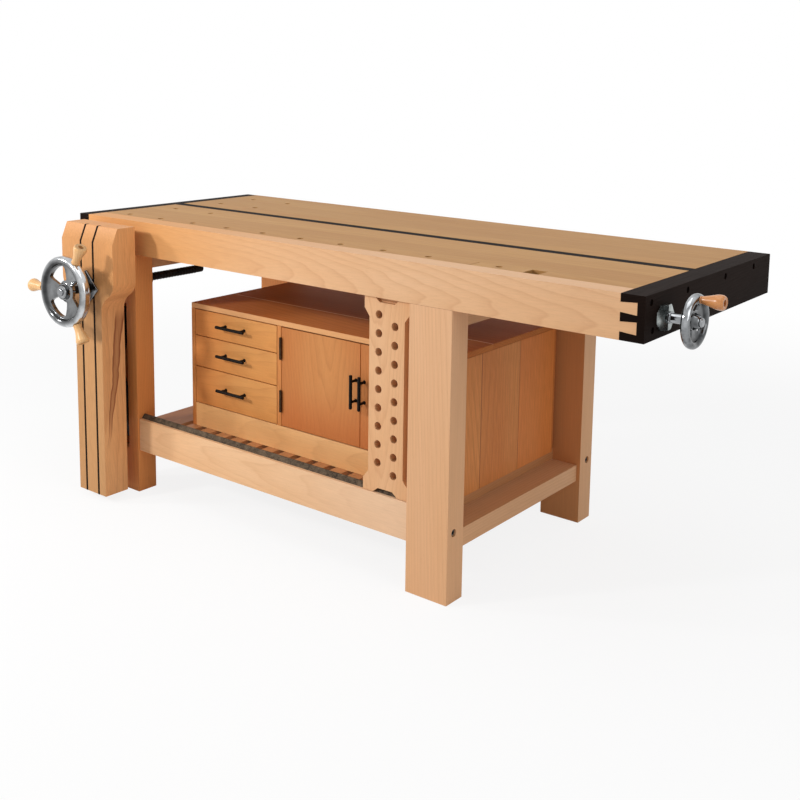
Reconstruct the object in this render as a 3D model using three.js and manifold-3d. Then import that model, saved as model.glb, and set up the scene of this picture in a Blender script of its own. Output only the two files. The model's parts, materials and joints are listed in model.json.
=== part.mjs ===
import * as THREE from 'three';
import { mergeVertices } from 'three/addons/utils/BufferGeometryUtils.js';
import Module from 'manifold-3d';

const wasm = await Module();
wasm.setup();

// Split-top woodworking bench with a leg vise, a wagon vise, a sliding deadman and a tool cabinet.
// Millimetres, +Z up, +X along the bench, +Y from the front to the back.
// Sizes below are laid out from the left end, the front face and the floor.

// Overall sizes
const benchHeight = 860;
const topThickness = 104;
const topLength = 1950;
const topDepth = 740;
const fit = 0.3;
const slideFit = 0.5;
const topUnder = benchHeight - topThickness;

// Bench top
const leftCapThickness = 45;
const rightCapThickness = 58;
const laminateThickness = 64;
const splitFront = 355;
const splitWidth = 37;
const tailLength = 40;
const tailRoot = 22;
const tailEnd = 28;
const tailPitch = 43;
const tailCount = 2;
const dogDiameter = 19;
const dogRow = 90;
const dogPitch = 147;
const dogCount = 9;
const lastDog = 1312;
const holdfastColumns = [136, 302];
const holdfastRows = [279, 478, 635];
const capBoltDiameter = 11;
const capBoltDepth = 7;
const capBoltDrop = 18;
const capBoltRows = [30, 218, 439, 624];
const lowBoltDrop = 81;
const lowBoltRow = 41;
const capLeft = topLength - rightCapThickness;
const splitBack = splitFront + splitWidth;

// Frame
const legWidth = 130;
const legDepth = 68;
const leftLegStart = 136;
const rightLegStart = 1322;
const legTenonWidth = 80;
const legTenonThickness = 26;
const legTenonHeight = 45;
const railSetback = 5;
const railThickness = 44;
const railBottom = 134;
const railHeight = 102;
const railTenonLength = 25;
const railTenonThickness = 24;
const railTenonHeight = 66;
const crossWidth = 108;
const stretcherBottom = 128;
const stretcherHeight = 50;
const bearerHeight = 52;
const crossTenonWidth = 60;
const crossTenonLength = 16;
const crossTenonHeight = 26;
const boltDiameter = 20;
const boltDepth = 12;
const legBack = topDepth - legDepth;
const leftLegEnd = leftLegStart + legWidth;
const railTop = railBottom + railHeight;
const stretcherTop = stretcherBottom + stretcherHeight;
const railCentre = railSetback + railThickness / 2;

// Shelf
const shelfStart = 306;
const slatCount = 15;
const slatPitch = 66.6;
const slatGap = 24;
const endSlatWidth = 54;
const endCleatWidth = 18;
const slatThickness = 20;
const shelfTop = 212;
const ledgerWidth = 20;
const ledgerHeight = 30;

// Sliding deadman and its track
const trackWidth = 26;
const trackHeight = 12;
const trackCrown = 3;
const deadmanWidth = 147;
const deadmanWaist = 114;
const deadmanThickness = 36;
const deadmanParking = 4;
const earHeight = 32;
const earSlope = 22;
const footHeight = 33;
const footSlope = 20;
const notchWidth = 80;
const notchFloor = 48;
const notchDepth = 13;
const pegDiameter = 22;
const pegColumns = [-26, 26];
const pegCount = 9;
const pegPitch = 49;
const pegTopDrop = 45;
const pegStagger = 24.5;
const tongueThickness = 14;
const tongueHeight = 10;

// Tool cabinet
const cabinetLeft = 374;
const cabinetRight = 1374;
const cabinetFront = 130;
const cabinetBack = 640;
const board = 16;
const backBoard = 8;
const dividerStart = 742;
const plinthHeight = 74;
const frontGap = 2;
const drawerHeights = [114, 95, 80];
const drawerGap = 3;
const upperDrawerGap = 2.4;
const drawerLength = 440;
const drawerSide = 14;
const drawerInset = 8;
const drawerFloor = 6;
const runnerWidth = 8;
const runnerHeight = 12;
const pullLength = 118;
const doorPullLength = 96;
const pullReach = 28;
const pullBar = 9;
const pullPostInset = 19;
const doorPullInset = 15;
const doorPullHeight = 450;
const drawerPullLift = 4;
const hingeLength = 66;
const hingeRadius = 4;
const hingeLeaf = 1.2;
const hingeLeafDepth = 22;
const hingeHeights = [363, 521];

// Leg vise
const chopGap = 42;
const chopThickness = 84;
const chopUpper = 244;
const chopLower = 128;
const chopBottom = 20;
const chopDrop = 8;
const shoulderRise = 29;
const shoulderHeight = 100;
const shoulderFullness = 1 / 3;
const bevelHeight = 48;
const bevelDepth = 20;
const inlayOffset = 29;
const inlayWidth = 7;
const inlayDepth = 12;
const screwRadius = 13;
const screwEnd = 330;
const spigotRadius = 9;
const boreSlack = 1;
const plateSide = 78;
const plateThickness = 6;
const collarRadius = 20;
const collarThickness = 8;
const wheelRadius = 106;
const wheelRim = 24;
const wheelWidth = 32;
const wheelStandoff = 79;
const webThickness = 8;
const webSetback = 8;
const rimFoot = 12;
const hubRadius = 24;
const hubLength = 30;
const capNutRadius = 11;
const capNutLength = 5;
const openingInner = 32;
const openingOuter = 76;
const openingSweep = 64;
const knobLength = 58;
const knobRoot = 13;
const knobWaist = 12;
const knobEnd = 20;
const knobMouth = 18;
const knobHole = 8;
const knobHoleDepth = 7;
const gripWaistShare = 0.22;
const gripBellyShare = 0.82;
const gripLip = 0.75;
const spokeAngles = [60, 180, 300];
const nutSide = 72;
const nutPlate = 8;
const nutLength = 30;
const nutRadius = 24;
const nutRoom = 5;
const grooveWidth = 42;
const legGrooveDepth = 45;
const chopGrooveDepth = 46;
const grooveHead = 35;
const grooveFoot = 30;
const armLength = 400;
const armWidth = 30;
const armThickness = 16;
const armSpacing = 2;
const armPinDrop = 98;
const armPinInset = 24;
const armPinRadius = 6;
const armPinLength = 92;
const crossPinRadius = 7;
const crossPinSlack = 2.5;
const chopTop = benchHeight - chopDrop;
const screwHeight = topUnder - bearerHeight - nutRoom - nutSide / 2;
const shoulderTop = screwHeight + shoulderRise;
const shoulderBottom = shoulderTop - shoulderHeight;
const armPinHeight = screwHeight - armPinDrop;
const grooveTop = armPinHeight + grooveHead;
const grooveBottom = armPinHeight - armLength - grooveFoot;

// Wagon vise
const slotStart = 1452;
const slotLength = 195;
const slotWidth = 48;
const blockLength = 150;
const blockParking = 2.5;
const blockDog = 72;
const blockDrop = 4;
const blockBore = 112;
const guideHeight = 10;
const guideDepth = 6;
const guideDrop = 20;
const tailScrewRow = 89;
const tailScrewDrop = 58;
const tailScrewRadius = 11;
const tailScrewTip = 1585;
const tailCollarRadius = 14;
const tailCollarLength = 6;
const hexRadius = 33;
const hexLength = 15;
const hexSides = 6;
const tailWheelRadius = 61;
const tailWheelRim = 19;
const tailWheelWidth = 20;
const tailWheelStandoff = 74;
const tailWebThickness = 6;
const tailWebSetback = 3;
const tailHubRadius = 16;
const tailHubLength = 26;
const tailOpeningInner = 22;
const tailOpeningOuter = 38;
const tailOpeningTurn = 90;
const tailSpigotRadius = 7;
const tailCapRadius = 11;
const tailCapLength = 6;
const crankRadius = 49;
const crankLength = 55;
const crankRoot = 8.5;
const crankSwell = 17;
const crankEnd = 14.5;

// Smoothness of round forms
const wheelSides = 40;
const turnedSides = 20;
const holeSides = 16;
const curveSteps = 6;
const edgeSteps = 8;
const weld = 1e-4;

// The origin is the middle of the floor under everything the bench reaches.
const reachRight = topLength + tailWheelStandoff + tailWheelWidth / 2 + fit + crankLength;
const wheelPlane = -chopGap - chopThickness - wheelStandoff;
const reachFront = wheelPlane - hubLength / 2 - fit - capNutLength;
const originX = reachRight / 2;
const originY = (reachFront + topDepth) / 2;

const beech = { color: 0xd8a878, roughness: 0.55, metalness: 0 };
const cabinetBeech = { color: 0xc98a52, roughness: 0.5, metalness: 0 };
const turnedBeech = { color: 0xdeb07c, roughness: 0.4, metalness: 0 };
const darkWood = { color: 0x1c1816, roughness: 0.5, metalness: 0 };
const steel = { color: 0xa8aaac, roughness: 0.3, metalness: 1 };
const chrome = { color: 0xc4c8cc, roughness: 0.15, metalness: 1 };
const blackSteel = { color: 0x17171a, roughness: 0.4, metalness: 0.7 };
const bronze = { color: 0x3c2e22, roughness: 0.45, metalness: 0.8 };

const bench = new THREE.Group();

// Solids: closed meshes that can be joined and cut

function solidOf(geometry) {
  const bare = new THREE.BufferGeometry();
  bare.setAttribute('position', geometry.getAttribute('position'));
  bare.setIndex(geometry.getIndex());
  const merged = mergeVertices(bare, weld);
  const corners = merged.getIndex().array;
  const triangles = [];
  for (let i = 0; i < corners.length; i += 3) {
    const [a, b, c] = corners.slice(i, i + 3);
    if (a !== b && b !== c && c !== a) {
      triangles.push(a, b, c);
    }
  }
  const points = merged.getAttribute('position').array;
  const corner = (n) => new THREE.Vector3().fromArray(points, 3 * n);
  let volume = 0;
  for (let i = 0; i < triangles.length; i += 3) {
    const [a, b, c] = triangles.slice(i, i + 3).map(corner);
    volume += a.dot(b.cross(c));
  }
  if (volume < 0) {
    triangles.reverse();
  }
  const vertProperties = Float32Array.from(points);
  const triVerts = Uint32Array.from(triangles);
  return new wasm.Manifold(new wasm.Mesh({ numProp: 3, vertProperties, triVerts }));
}

function place(name, solid, look) {
  const result = solid.getMesh();
  const geometry = new THREE.BufferGeometry();
  geometry.setAttribute('position', new THREE.BufferAttribute(result.vertProperties.slice(), 3));
  geometry.setIndex(new THREE.BufferAttribute(result.triVerts.slice(), 1));
  geometry.translate(-originX, -originY, 0);
  geometry.computeVertexNormals();
  const mesh = new THREE.Mesh(geometry, new THREE.MeshStandardMaterial(look));
  mesh.name = name;
  bench.add(mesh);
}

const join = (...solids) => solids.reduce((sum, next) => sum.add(next));
const cut = (solid, ...tools) => tools.reduce((rest, tool) => rest.subtract(tool), solid);
const around = (middle, size) => [middle - size / 2, middle + size / 2];

function box([x0, x1], [y0, y1], [z0, z1]) {
  const geometry = new THREE.BoxGeometry(x1 - x0, y1 - y0, z1 - z0);
  geometry.translate((x0 + x1) / 2, (y0 + y1) / 2, (z0 + z1) / 2);
  return solidOf(geometry);
}

function outline(points) {
  return new THREE.Shape(points.map(([u, v]) => new THREE.Vector2(u, v)));
}

function extrusion(shape, depth) {
  return new THREE.ExtrudeGeometry(shape, { depth, bevelEnabled: false, curveSegments: edgeSteps });
}

// A profile drawn in x and z, carried along y
function alongY(shape, [y0, y1]) {
  const geometry = extrusion(shape, y1 - y0);
  geometry.rotateX(Math.PI / 2);
  geometry.translate(0, y1, 0);
  return solidOf(geometry);
}

// A profile drawn in y and z, carried along x
function alongX(shape, [x0, x1]) {
  const geometry = extrusion(shape, x1 - x0);
  const toX = new THREE.Matrix4().makeBasis(
    new THREE.Vector3(0, 1, 0),
    new THREE.Vector3(0, 0, 1),
    new THREE.Vector3(1, 0, 0),
  );
  geometry.applyMatrix4(toX);
  geometry.translate(x0, 0, 0);
  return solidOf(geometry);
}

function rod(axis, radius, [start, end], [u, v], sides = holeSides) {
  const geometry = new THREE.CylinderGeometry(radius, radius, end - start, sides);
  const middle = (start + end) / 2;
  if (axis === 'x') {
    geometry.rotateZ(-Math.PI / 2);
    geometry.translate(middle, u, v);
  }
  if (axis === 'y') {
    geometry.translate(u, middle, v);
  }
  if (axis === 'z') {
    geometry.rotateX(Math.PI / 2);
    geometry.translate(u, v, middle);
  }
  return solidOf(geometry);
}

function lathe(points, sides) {
  return new THREE.LatheGeometry(points.map(([r, t]) => new THREE.Vector2(r, t)), sides);
}

// A quarter-round or half-round stretch of a turned profile
function arc(r, t, radius, from, to) {
  const points = [];
  for (let i = 0; i <= curveSteps; i += 1) {
    const angle = THREE.MathUtils.degToRad(from + ((to - from) * i) / curveSteps);
    points.push([r + radius * Math.cos(angle), t + radius * Math.sin(angle)]);
  }
  return points;
}

// Bench top

const topSpan = [leftCapThickness + fit, capLeft - fit];
const topZ = [topUnder, benchHeight];

const tailHeights = Array.from({ length: tailCount }, (_, i) => {
  const fromMiddle = (i - (tailCount - 1) / 2) * tailPitch;
  return benchHeight - topThickness / 2 + fromMiddle;
});

function tail(height, slack) {
  const root = tailRoot / 2 + slack;
  const end = tailEnd / 2 + slack;
  const start = capLeft - fit;
  const tip = capLeft + tailLength + slack - fit;
  const corners = [
    [start - fit, height - root],
    [tip, height - end],
    [tip, height + end],
    [start - fit, height + root],
  ];
  return alongY(outline(corners), [0, laminateThickness + slack]);
}

const deadmanMiddle = railCentre;

function frontLaminate() {
  const body = box(topSpan, [0, laminateThickness], topZ);
  const grooveHalf = tongueThickness / 2 + slideFit;
  const tongueGroove = box(
    [leftLegEnd, rightLegStart],
    [deadmanMiddle - grooveHalf, deadmanMiddle + grooveHalf],
    [topUnder - fit, topUnder + tongueHeight + slideFit],
  );
  const guide = blockGuide(fit);
  const cuts = [tongueGroove, guide, legMortise(leftLegStart, 0), legMortise(rightLegStart, 0)];
  return cut(join(body, ...tailHeights.map((height) => tail(height, 0))), ...cuts);
}

function dogHole(x, y) {
  return rod('z', dogDiameter / 2, [topUnder - fit, benchHeight + fit], [x, y]);
}

const tailAxis = [tailScrewRow, benchHeight - tailScrewDrop];
const slotBack = laminateThickness + slotWidth;
const slotEnd = slotStart + slotLength;

// The groove that the wagon block's tongues run in
function blockGuide(slack) {
  return box(
    [slotStart, slotEnd],
    [laminateThickness - guideDepth, slotBack + guideDepth],
    around(tailAxis[1] - guideDrop, guideHeight + slack),
  );
}

function frontSlab() {
  const body = box(topSpan, [laminateThickness + fit, splitFront], topZ);
  const slot = box([slotStart, slotEnd], [0, slotBack], [topUnder - fit, benchHeight + fit]);
  const screwBore = rod('x', tailScrewRadius + boreSlack, [slotEnd - fit, topLength], tailAxis);
  const dogs = Array.from({ length: dogCount }, (_, i) => dogHole(lastDog - i * dogPitch, dogRow));
  const holdfasts = holdfastColumns.map((x) => dogHole(x, holdfastRows[0]));
  return cut(body, slot, blockGuide(fit), screwBore, ...dogs, ...holdfasts);
}

function rearSlab() {
  const body = box(topSpan, [splitBack, topDepth], topZ);
  const rows = holdfastRows.slice(1);
  const holdfasts = rows.flatMap((y) => holdfastColumns.map((x) => dogHole(x, y)));
  return cut(body, legMortise(leftLegStart, legBack), legMortise(rightLegStart, legBack), ...holdfasts);
}

function rightCap() {
  const body = box([capLeft, topLength], [0, topDepth], topZ);
  const sockets = tailHeights.map((height) => tail(height, fit));
  const boltSpan = [topLength - capBoltDepth, topLength + fit];
  const boltSpots = capBoltRows.map((y) => [y, benchHeight - capBoltDrop]);
  boltSpots.push([lowBoltRow, benchHeight - lowBoltDrop]);
  const bolts = boltSpots.map((spot) => rod('x', capBoltDiameter / 2, boltSpan, spot));
  const screwBore = rod('x', tailScrewRadius + boreSlack, [capLeft - fit, topLength + fit], tailAxis);
  return cut(body, ...sockets, ...bolts, screwBore);
}

const gapStop = box(topSpan, [splitFront + fit, splitBack - fit], topZ);
const leftCap = box([0, leftCapThickness], [0, topDepth], topZ);

// Frame

const betweenLegs = [leftLegEnd + fit, rightLegStart - fit];
const legTenonY = (legStartY) => around(legStartY + legDepth / 2, legTenonThickness);

function legMortise(legStart, legStartY) {
  const [y0, y1] = legTenonY(legStartY);
  return box(
    around(legStart + legWidth / 2, legTenonWidth + 2 * fit),
    [y0 - fit, y1 + fit],
    [topUnder - fit, topUnder + legTenonHeight + fit],
  );
}

function railTenon(side, railStartY, slack) {
  const inner = side < 0 ? leftLegEnd : rightLegStart;
  const span = [inner, inner + side * (railTenonLength + slack)].sort((a, b) => a - b);
  const reach = side < 0 ? [span[0], span[1] + 2 * fit] : [span[0] - 2 * fit, span[1]];
  return box(
    reach,
    around(railStartY + railThickness / 2, railTenonThickness + 2 * slack),
    around(railBottom + railHeight / 2, railTenonHeight + 2 * slack),
  );
}

function crossTenon(side, legStart, bottom, height, slack) {
  const inner = side < 0 ? legDepth : legBack;
  const reach = side < 0
    ? [inner - crossTenonLength - slack, inner + 2 * fit]
    : [inner - 2 * fit, inner + crossTenonLength + slack];
  return box(
    around(legStart + legWidth / 2, crossTenonWidth + 2 * slack),
    reach,
    around(bottom + height / 2, crossTenonHeight + 2 * slack),
  );
}

const bearerBottom = topUnder - fit - bearerHeight;
const rearRailStart = topDepth - railSetback - railThickness;
const viseCentre = leftLegStart + legWidth / 2;

function leg(side, front) {
  const legStart = side < 0 ? leftLegStart : rightLegStart;
  const startY = front ? 0 : legBack;
  const end = front ? -1 : 1;
  const body = box([legStart, legStart + legWidth], [startY, startY + legDepth], [0, topUnder - fit]);
  const tenon = box(
    around(legStart + legWidth / 2, legTenonWidth),
    legTenonY(startY),
    [topUnder - 2 * fit, topUnder + legTenonHeight],
  );
  const railStart = front ? railSetback : rearRailStart;
  const outer = side < 0 ? legStart : legStart + legWidth;
  const boltSpan = side < 0 ? [outer - fit, outer + boltDepth] : [outer - boltDepth, outer + fit];
  const boltPlace = [railStart + railThickness / 2, railBottom + railHeight / 2];
  return cut(
    join(body, tenon),
    railTenon(side, railStart, fit),
    crossTenon(end, legStart, stretcherBottom, stretcherHeight, fit),
    crossTenon(end, legStart, bearerBottom, bearerHeight, fit),
    rod('x', boltDiameter / 2, boltSpan, boltPlace),
  );
}

function viseLeg() {
  const groove = box(around(viseCentre, grooveWidth), [-fit, legGrooveDepth], [grooveBottom, grooveTop]);
  const screwBore = rod('y', screwRadius + boreSlack, [-fit, legDepth + fit], [viseCentre, screwHeight]);
  const pinSpan = [leftLegStart - fit, viseCentre + armPinLength / 2];
  const pinHole = rod('x', armPinRadius + fit, pinSpan, [armPinInset, armPinHeight]);
  return cut(leg(-1, true), groove, screwBore, pinHole);
}

function rail(startY) {
  const body = box(betweenLegs, [startY, startY + railThickness], [railBottom, railTop]);
  return join(body, railTenon(-1, startY, 0), railTenon(1, startY, 0));
}

function crossPiece(legStart, bottom, height) {
  const body = box(
    around(legStart + legWidth / 2, crossWidth),
    [legDepth + fit, legBack - fit],
    [bottom, bottom + height],
  );
  const tenons = [-1, 1].map((side) => crossTenon(side, legStart, bottom, height, 0));
  return join(body, ...tenons);
}

// Slats on two ledgers; the last slat is notched round the right legs and packed up off the stretcher.
function slattedShelf() {
  const frontEdge = railSetback + railThickness + fit;
  const backEdge = topDepth - frontEdge;
  const slatZ = [shelfTop - slatThickness, shelfTop];
  const ledgerZ = [slatZ[0] - ledgerHeight, slatZ[0] + fit];
  const ledgerSpan = [shelfStart, betweenLegs[1]];
  const ledgers = [
    box(ledgerSpan, [frontEdge, frontEdge + ledgerWidth], ledgerZ),
    box(ledgerSpan, [backEdge - ledgerWidth, backEdge], ledgerZ),
  ];
  const slats = Array.from({ length: slatCount }, (_, i) => {
    const left = shelfStart + i * slatPitch;
    return box([left, left + slatPitch - slatGap], [frontEdge, backEdge], slatZ);
  });
  const endLeft = shelfStart + slatCount * slatPitch;
  const endRight = endLeft + endSlatWidth;
  const notched = [legDepth + fit, legBack - fit];
  const endSlat = join(
    box([endLeft, betweenLegs[1]], [frontEdge, backEdge], slatZ),
    box([endLeft, endRight], notched, slatZ),
    box([endRight - endCleatWidth, endRight], notched, [stretcherTop + fit, slatZ[0] + fit]),
  );
  return join(...ledgers, ...slats, endSlat);
}

// Deadman: a staggered peg board that straddles the ridge on the front rail

function ridge(slack) {
  const half = trackWidth / 2 + slack;
  const crown = trackCrown / 2 + slack;
  const foot = railTop + fit;
  const peak = foot + trackHeight + slack;
  return outline([
    [railCentre - half, foot - slack],
    [railCentre + half, foot - slack],
    [railCentre + crown, peak],
    [railCentre - crown, peak],
  ]);
}

function deadman() {
  const right = rightLegStart - deadmanParking;
  const middle = right - deadmanWidth / 2;
  const bottom = railTop + fit + slideFit;
  const top = topUnder - slideFit;
  const wide = deadmanWidth / 2;
  const waist = deadmanWaist / 2;
  const mouth = notchWidth / 2;
  const floor = notchFloor / 2;
  const rightSide = [
    [mouth, bottom],
    [wide, bottom],
    [wide, bottom + footHeight],
    [waist, bottom + footHeight + footSlope],
    [waist, top - earHeight - earSlope],
    [wide, top - earHeight],
    [wide, top],
    [mouth, top],
    [floor, top - notchDepth],
  ];
  const leftSide = rightSide.map(([u, v]) => [-u, v]).reverse();
  const points = [[floor, bottom + notchDepth], ...rightSide, ...leftSide, [-floor, bottom + notchDepth]];
  const shape = outline(points.map(([u, v]) => [middle + u, v]));
  for (let column = 0; column < pegColumns.length; column += 1) {
    for (let i = 0; i < pegCount; i += 1) {
      const hole = new THREE.Path();
      const height = top - pegTopDrop - column * pegStagger - i * pegPitch;
      hole.absarc(middle + pegColumns[column], height, pegDiameter / 2, 0, 2 * Math.PI);
      shape.holes.push(hole);
    }
  }
  const body = alongY(shape, around(deadmanMiddle, deadmanThickness));
  const tongue = box(
    [middle - wide, middle + wide],
    around(deadmanMiddle, tongueThickness),
    [top - notchDepth - fit, topUnder + tongueHeight - slideFit],
  );
  const straddle = alongX(ridge(slideFit), [middle - deadmanWidth, middle + deadmanWidth]);
  return cut(join(body, tongue), straddle);
}

// Tool cabinet

const cabinetBottom = shelfTop + fit;
const insideLeft = cabinetLeft + board;
const insideRight = cabinetRight - board;
const dividerEnd = dividerStart + board;
const plinthTop = cabinetBottom + plinthHeight;
const frontBack = cabinetFront + board;
const insideSpan = [insideLeft + fit, insideRight - fit];
const insideBack = cabinetBack - backBoard - fit;

const drawerBottoms = drawerHeights.map((_, i) => {
  const below = drawerHeights.slice(0, i).reduce((sum, height) => sum + height + drawerGap, 0);
  return plinthTop + drawerGap + below;
});
const upperDrawer = drawerHeights.length - 1;
const carcassTop = drawerBottoms[upperDrawer] + drawerHeights[upperDrawer] + upperDrawerGap;
const lidBottom = carcassTop + fit;
const cabinetTop = lidBottom + board;

function runners(x, side, slack) {
  return drawerHeights.map((height, i) => {
    const span = side < 0 ? [x - runnerWidth - slack, x + fit] : [x - fit, x + runnerWidth + slack];
    const middle = drawerBottoms[i] + height / 2;
    const depth = [frontBack + board, frontBack + drawerLength];
    return box(span, depth, around(middle, runnerHeight + 2 * slack));
  });
}

function drawer(i) {
  const z0 = drawerBottoms[i];
  const z1 = z0 + drawerHeights[i];
  const span = [insideLeft + frontGap, dividerStart - frontGap];
  const boxZ = [z0 + drawerInset, z1 - drawerInset];
  const boxX = [insideLeft + slideFit, dividerStart - slideFit];
  const boxBack = frontBack + drawerLength;
  const front = box(span, [cabinetFront, frontBack], [z0, z1]);
  const body = box(boxX, [frontBack - fit, boxBack], boxZ);
  const hollow = box(
    [boxX[0] + drawerSide, boxX[1] - drawerSide],
    [frontBack, boxBack - drawerSide],
    [boxZ[0] + drawerFloor, z1],
  );
  const groove = [boxX[0] + runnerWidth + slideFit, boxX[1] - runnerWidth - slideFit];
  const grooveZ = around((z0 + z1) / 2, runnerHeight + 2 * slideFit);
  const grooves = [
    box([boxX[0] - fit, groove[0]], [frontBack + board - slideFit, boxBack + fit], grooveZ),
    box([groove[1], boxX[1] + fit], [frontBack + board - slideFit, boxBack + fit], grooveZ),
  ];
  return cut(join(front, body), hollow, ...grooves);
}

// A bar on two posts
function bow(length) {
  const half = length / 2;
  const inner = half - pullPostInset - pullBar / 2;
  const outer = half - pullPostInset + pullBar / 2;
  const barBack = pullBar - pullReach;
  const shape = outline([
    [-half, -pullReach],
    [half, -pullReach],
    [half, barBack],
    [outer, barBack],
    [outer, 0],
    [inner, 0],
    [inner, barBack],
    [-inner, barBack],
    [-inner, 0],
    [-outer, 0],
    [-outer, barBack],
    [-half, barBack],
  ]);
  const geometry = extrusion(shape, pullBar);
  geometry.translate(0, 0, -pullBar / 2);
  return geometry;
}

function drawerPull(i) {
  const geometry = bow(pullLength);
  const height = drawerBottoms[i] + drawerHeights[i] / 2 + drawerPullLift;
  geometry.translate((insideLeft + dividerStart) / 2, cabinetFront - fit, height);
  return solidOf(geometry);
}

const doorMeet = (dividerEnd + insideRight) / 2;
const doorZ = [plinthTop + drawerGap, carcassTop - drawerGap];

function door(side) {
  const leftSpan = [dividerEnd + frontGap, doorMeet - frontGap / 2];
  const rightSpan = [doorMeet + frontGap / 2, insideRight - frontGap];
  return box(side < 0 ? leftSpan : rightSpan, [cabinetFront, frontBack], doorZ);
}

function doorPull(side) {
  const geometry = bow(doorPullLength);
  geometry.rotateY(Math.PI / 2);
  geometry.translate(doorMeet + side * doorPullInset, cabinetFront - fit, doorPullHeight);
  return solidOf(geometry);
}

function hinge(side, height) {
  const x = side < 0 ? dividerEnd + frontGap / 2 : insideRight - frontGap / 2;
  const z = around(height, hingeLength);
  const pinY = cabinetFront - fit - hingeRadius;
  const barrel = rod('z', hingeRadius, z, [x, pinY]);
  const leaf = box(around(x, hingeLeaf), [pinY, cabinetFront + hingeLeafDepth], z);
  return join(barrel, leaf);
}

function cabinetBase() {
  const plinth = box(insideSpan, [cabinetFront, frontBack], [cabinetBottom, plinthTop]);
  const bottom = box(insideSpan, [frontBack - fit, insideBack], [plinthTop - board, plinthTop]);
  return join(plinth, bottom);
}

const sideDepth = [cabinetFront, cabinetBack];
const leftSide = box([cabinetLeft, insideLeft], sideDepth, [cabinetBottom, carcassTop]);
const rightSide = box([insideRight, cabinetRight], sideDepth, [cabinetBottom, carcassTop]);
const dividerZ = [plinthTop + fit, carcassTop];
const divider = box([dividerStart, dividerEnd], [cabinetFront, insideBack], dividerZ);
const cabinetLid = box([cabinetLeft, cabinetRight], sideDepth, [lidBottom, cabinetTop]);
const rearDepth = [cabinetBack - backBoard, cabinetBack];
const cabinetRear = box(insideSpan, rearDepth, [cabinetBottom, carcassTop]);

// Leg vise: chop, criss-cross arms, screw and handwheel

const chopBack = -chopGap;
const chopFront = chopBack - chopThickness;
const screwAxis = [viseCentre, screwHeight];
const chopArmPinY = chopBack - armPinInset;
const screwHole = (span) => rod('y', screwRadius + boreSlack, span, screwAxis);

function chopProfile() {
  const wide = chopUpper / 2;
  const narrow = chopLower / 2;
  const turnX = (wide + narrow) / 2;
  const turnZ = (shoulderTop + shoulderBottom) / 2;
  const swellZ = turnZ + (shoulderTop - turnZ) * shoulderFullness;
  const hollowZ = turnZ - (turnZ - shoulderBottom) * shoulderFullness;
  const x = (offset) => viseCentre + offset;
  const shape = new THREE.Shape();
  shape.moveTo(x(-narrow), chopBottom);
  shape.lineTo(x(narrow), chopBottom);
  shape.lineTo(x(narrow), shoulderBottom);
  shape.quadraticCurveTo(x(narrow), hollowZ, x(turnX), turnZ);
  shape.quadraticCurveTo(x(wide), swellZ, x(wide), shoulderTop);
  shape.lineTo(x(wide), chopTop);
  shape.lineTo(x(-wide), chopTop);
  shape.lineTo(x(-wide), shoulderTop);
  shape.quadraticCurveTo(x(-wide), swellZ, x(-turnX), turnZ);
  shape.quadraticCurveTo(x(-narrow), hollowZ, x(-narrow), shoulderBottom);
  return shape;
}

// The strip of the chop's front, from depth behind the face to the face itself, bevel included
function frontStrip(depth, slack) {
  const bevelStart = chopTop - bevelHeight;
  return outline([
    [chopFront, chopBottom - slack],
    [chopFront + depth + slack, chopBottom - slack],
    [chopFront + depth + slack, bevelStart],
    [chopFront + bevelDepth + depth + slack, chopTop + slack],
    [chopFront + bevelDepth, chopTop + slack],
    [chopFront, bevelStart],
  ]);
}

const inlaySpan = (side, slack) => around(viseCentre + side * inlayOffset, inlayWidth + 2 * slack);

function chop() {
  const body = alongY(chopProfile(), [chopFront, chopBack]);
  const bevel = alongX(
    outline([
      [chopFront - fit, chopTop - bevelHeight],
      [chopFront, chopTop - bevelHeight],
      [chopFront + bevelDepth, chopTop],
      [chopFront + bevelDepth, chopTop + fit],
      [chopFront - fit, chopTop + fit],
    ]),
    around(viseCentre, chopUpper + legWidth),
  );
  const grooves = [-1, 1].map((side) => alongX(frontStrip(inlayDepth, fit), inlaySpan(side, fit)));
  const grooveSpan = [chopBack - chopGrooveDepth, chopBack + fit];
  const armGroove = box(around(viseCentre, grooveWidth), grooveSpan, [grooveBottom, grooveTop]);
  const pinSpan = [viseCentre - chopUpper, viseCentre + armPinLength / 2];
  const pinHole = rod('x', armPinRadius + fit, pinSpan, [chopArmPinY, armPinHeight]);
  return cut(body, bevel, ...grooves, armGroove, pinHole, screwHole([chopFront - fit, chopBack + fit]));
}

function inlay(side) {
  const strip = alongX(frontStrip(inlayDepth, 0), inlaySpan(side, 0));
  return cut(strip, screwHole([chopFront - fit, chopBack]));
}

function visePlate() {
  const half = plateSide / Math.SQRT2;
  const corners = [[-half, 0], [0, -half], [half, 0], [0, half]];
  const shape = outline(corners.map(([u, v]) => [viseCentre + u, screwHeight + v]));
  const span = [chopFront - fit - plateThickness, chopFront - fit];
  return cut(alongY(shape, span), screwHole([span[0] - fit, span[1] + fit]));
}

const collarBack = chopFront - plateThickness - 2 * fit;
const hubBack = wheelPlane + hubLength / 2;
const hubFront = wheelPlane - hubLength / 2;

function viseScrew() {
  const nutFront = hubFront - fit - capNutLength;
  const profile = [
    [0, screwEnd],
    [screwRadius, screwEnd],
    [screwRadius, collarBack],
    [collarRadius, collarBack],
    [collarRadius, collarBack - collarThickness],
    [screwRadius, collarBack - collarThickness],
    [screwRadius, hubBack + fit],
    [spigotRadius, hubBack + fit],
    [spigotRadius, hubFront - fit],
    [capNutRadius, hubFront - fit],
    [capNutRadius, nutFront],
    [0, nutFront],
  ];
  const geometry = lathe(profile, turnedSides);
  geometry.translate(viseCentre, 0, screwHeight);
  return solidOf(geometry);
}

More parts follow.
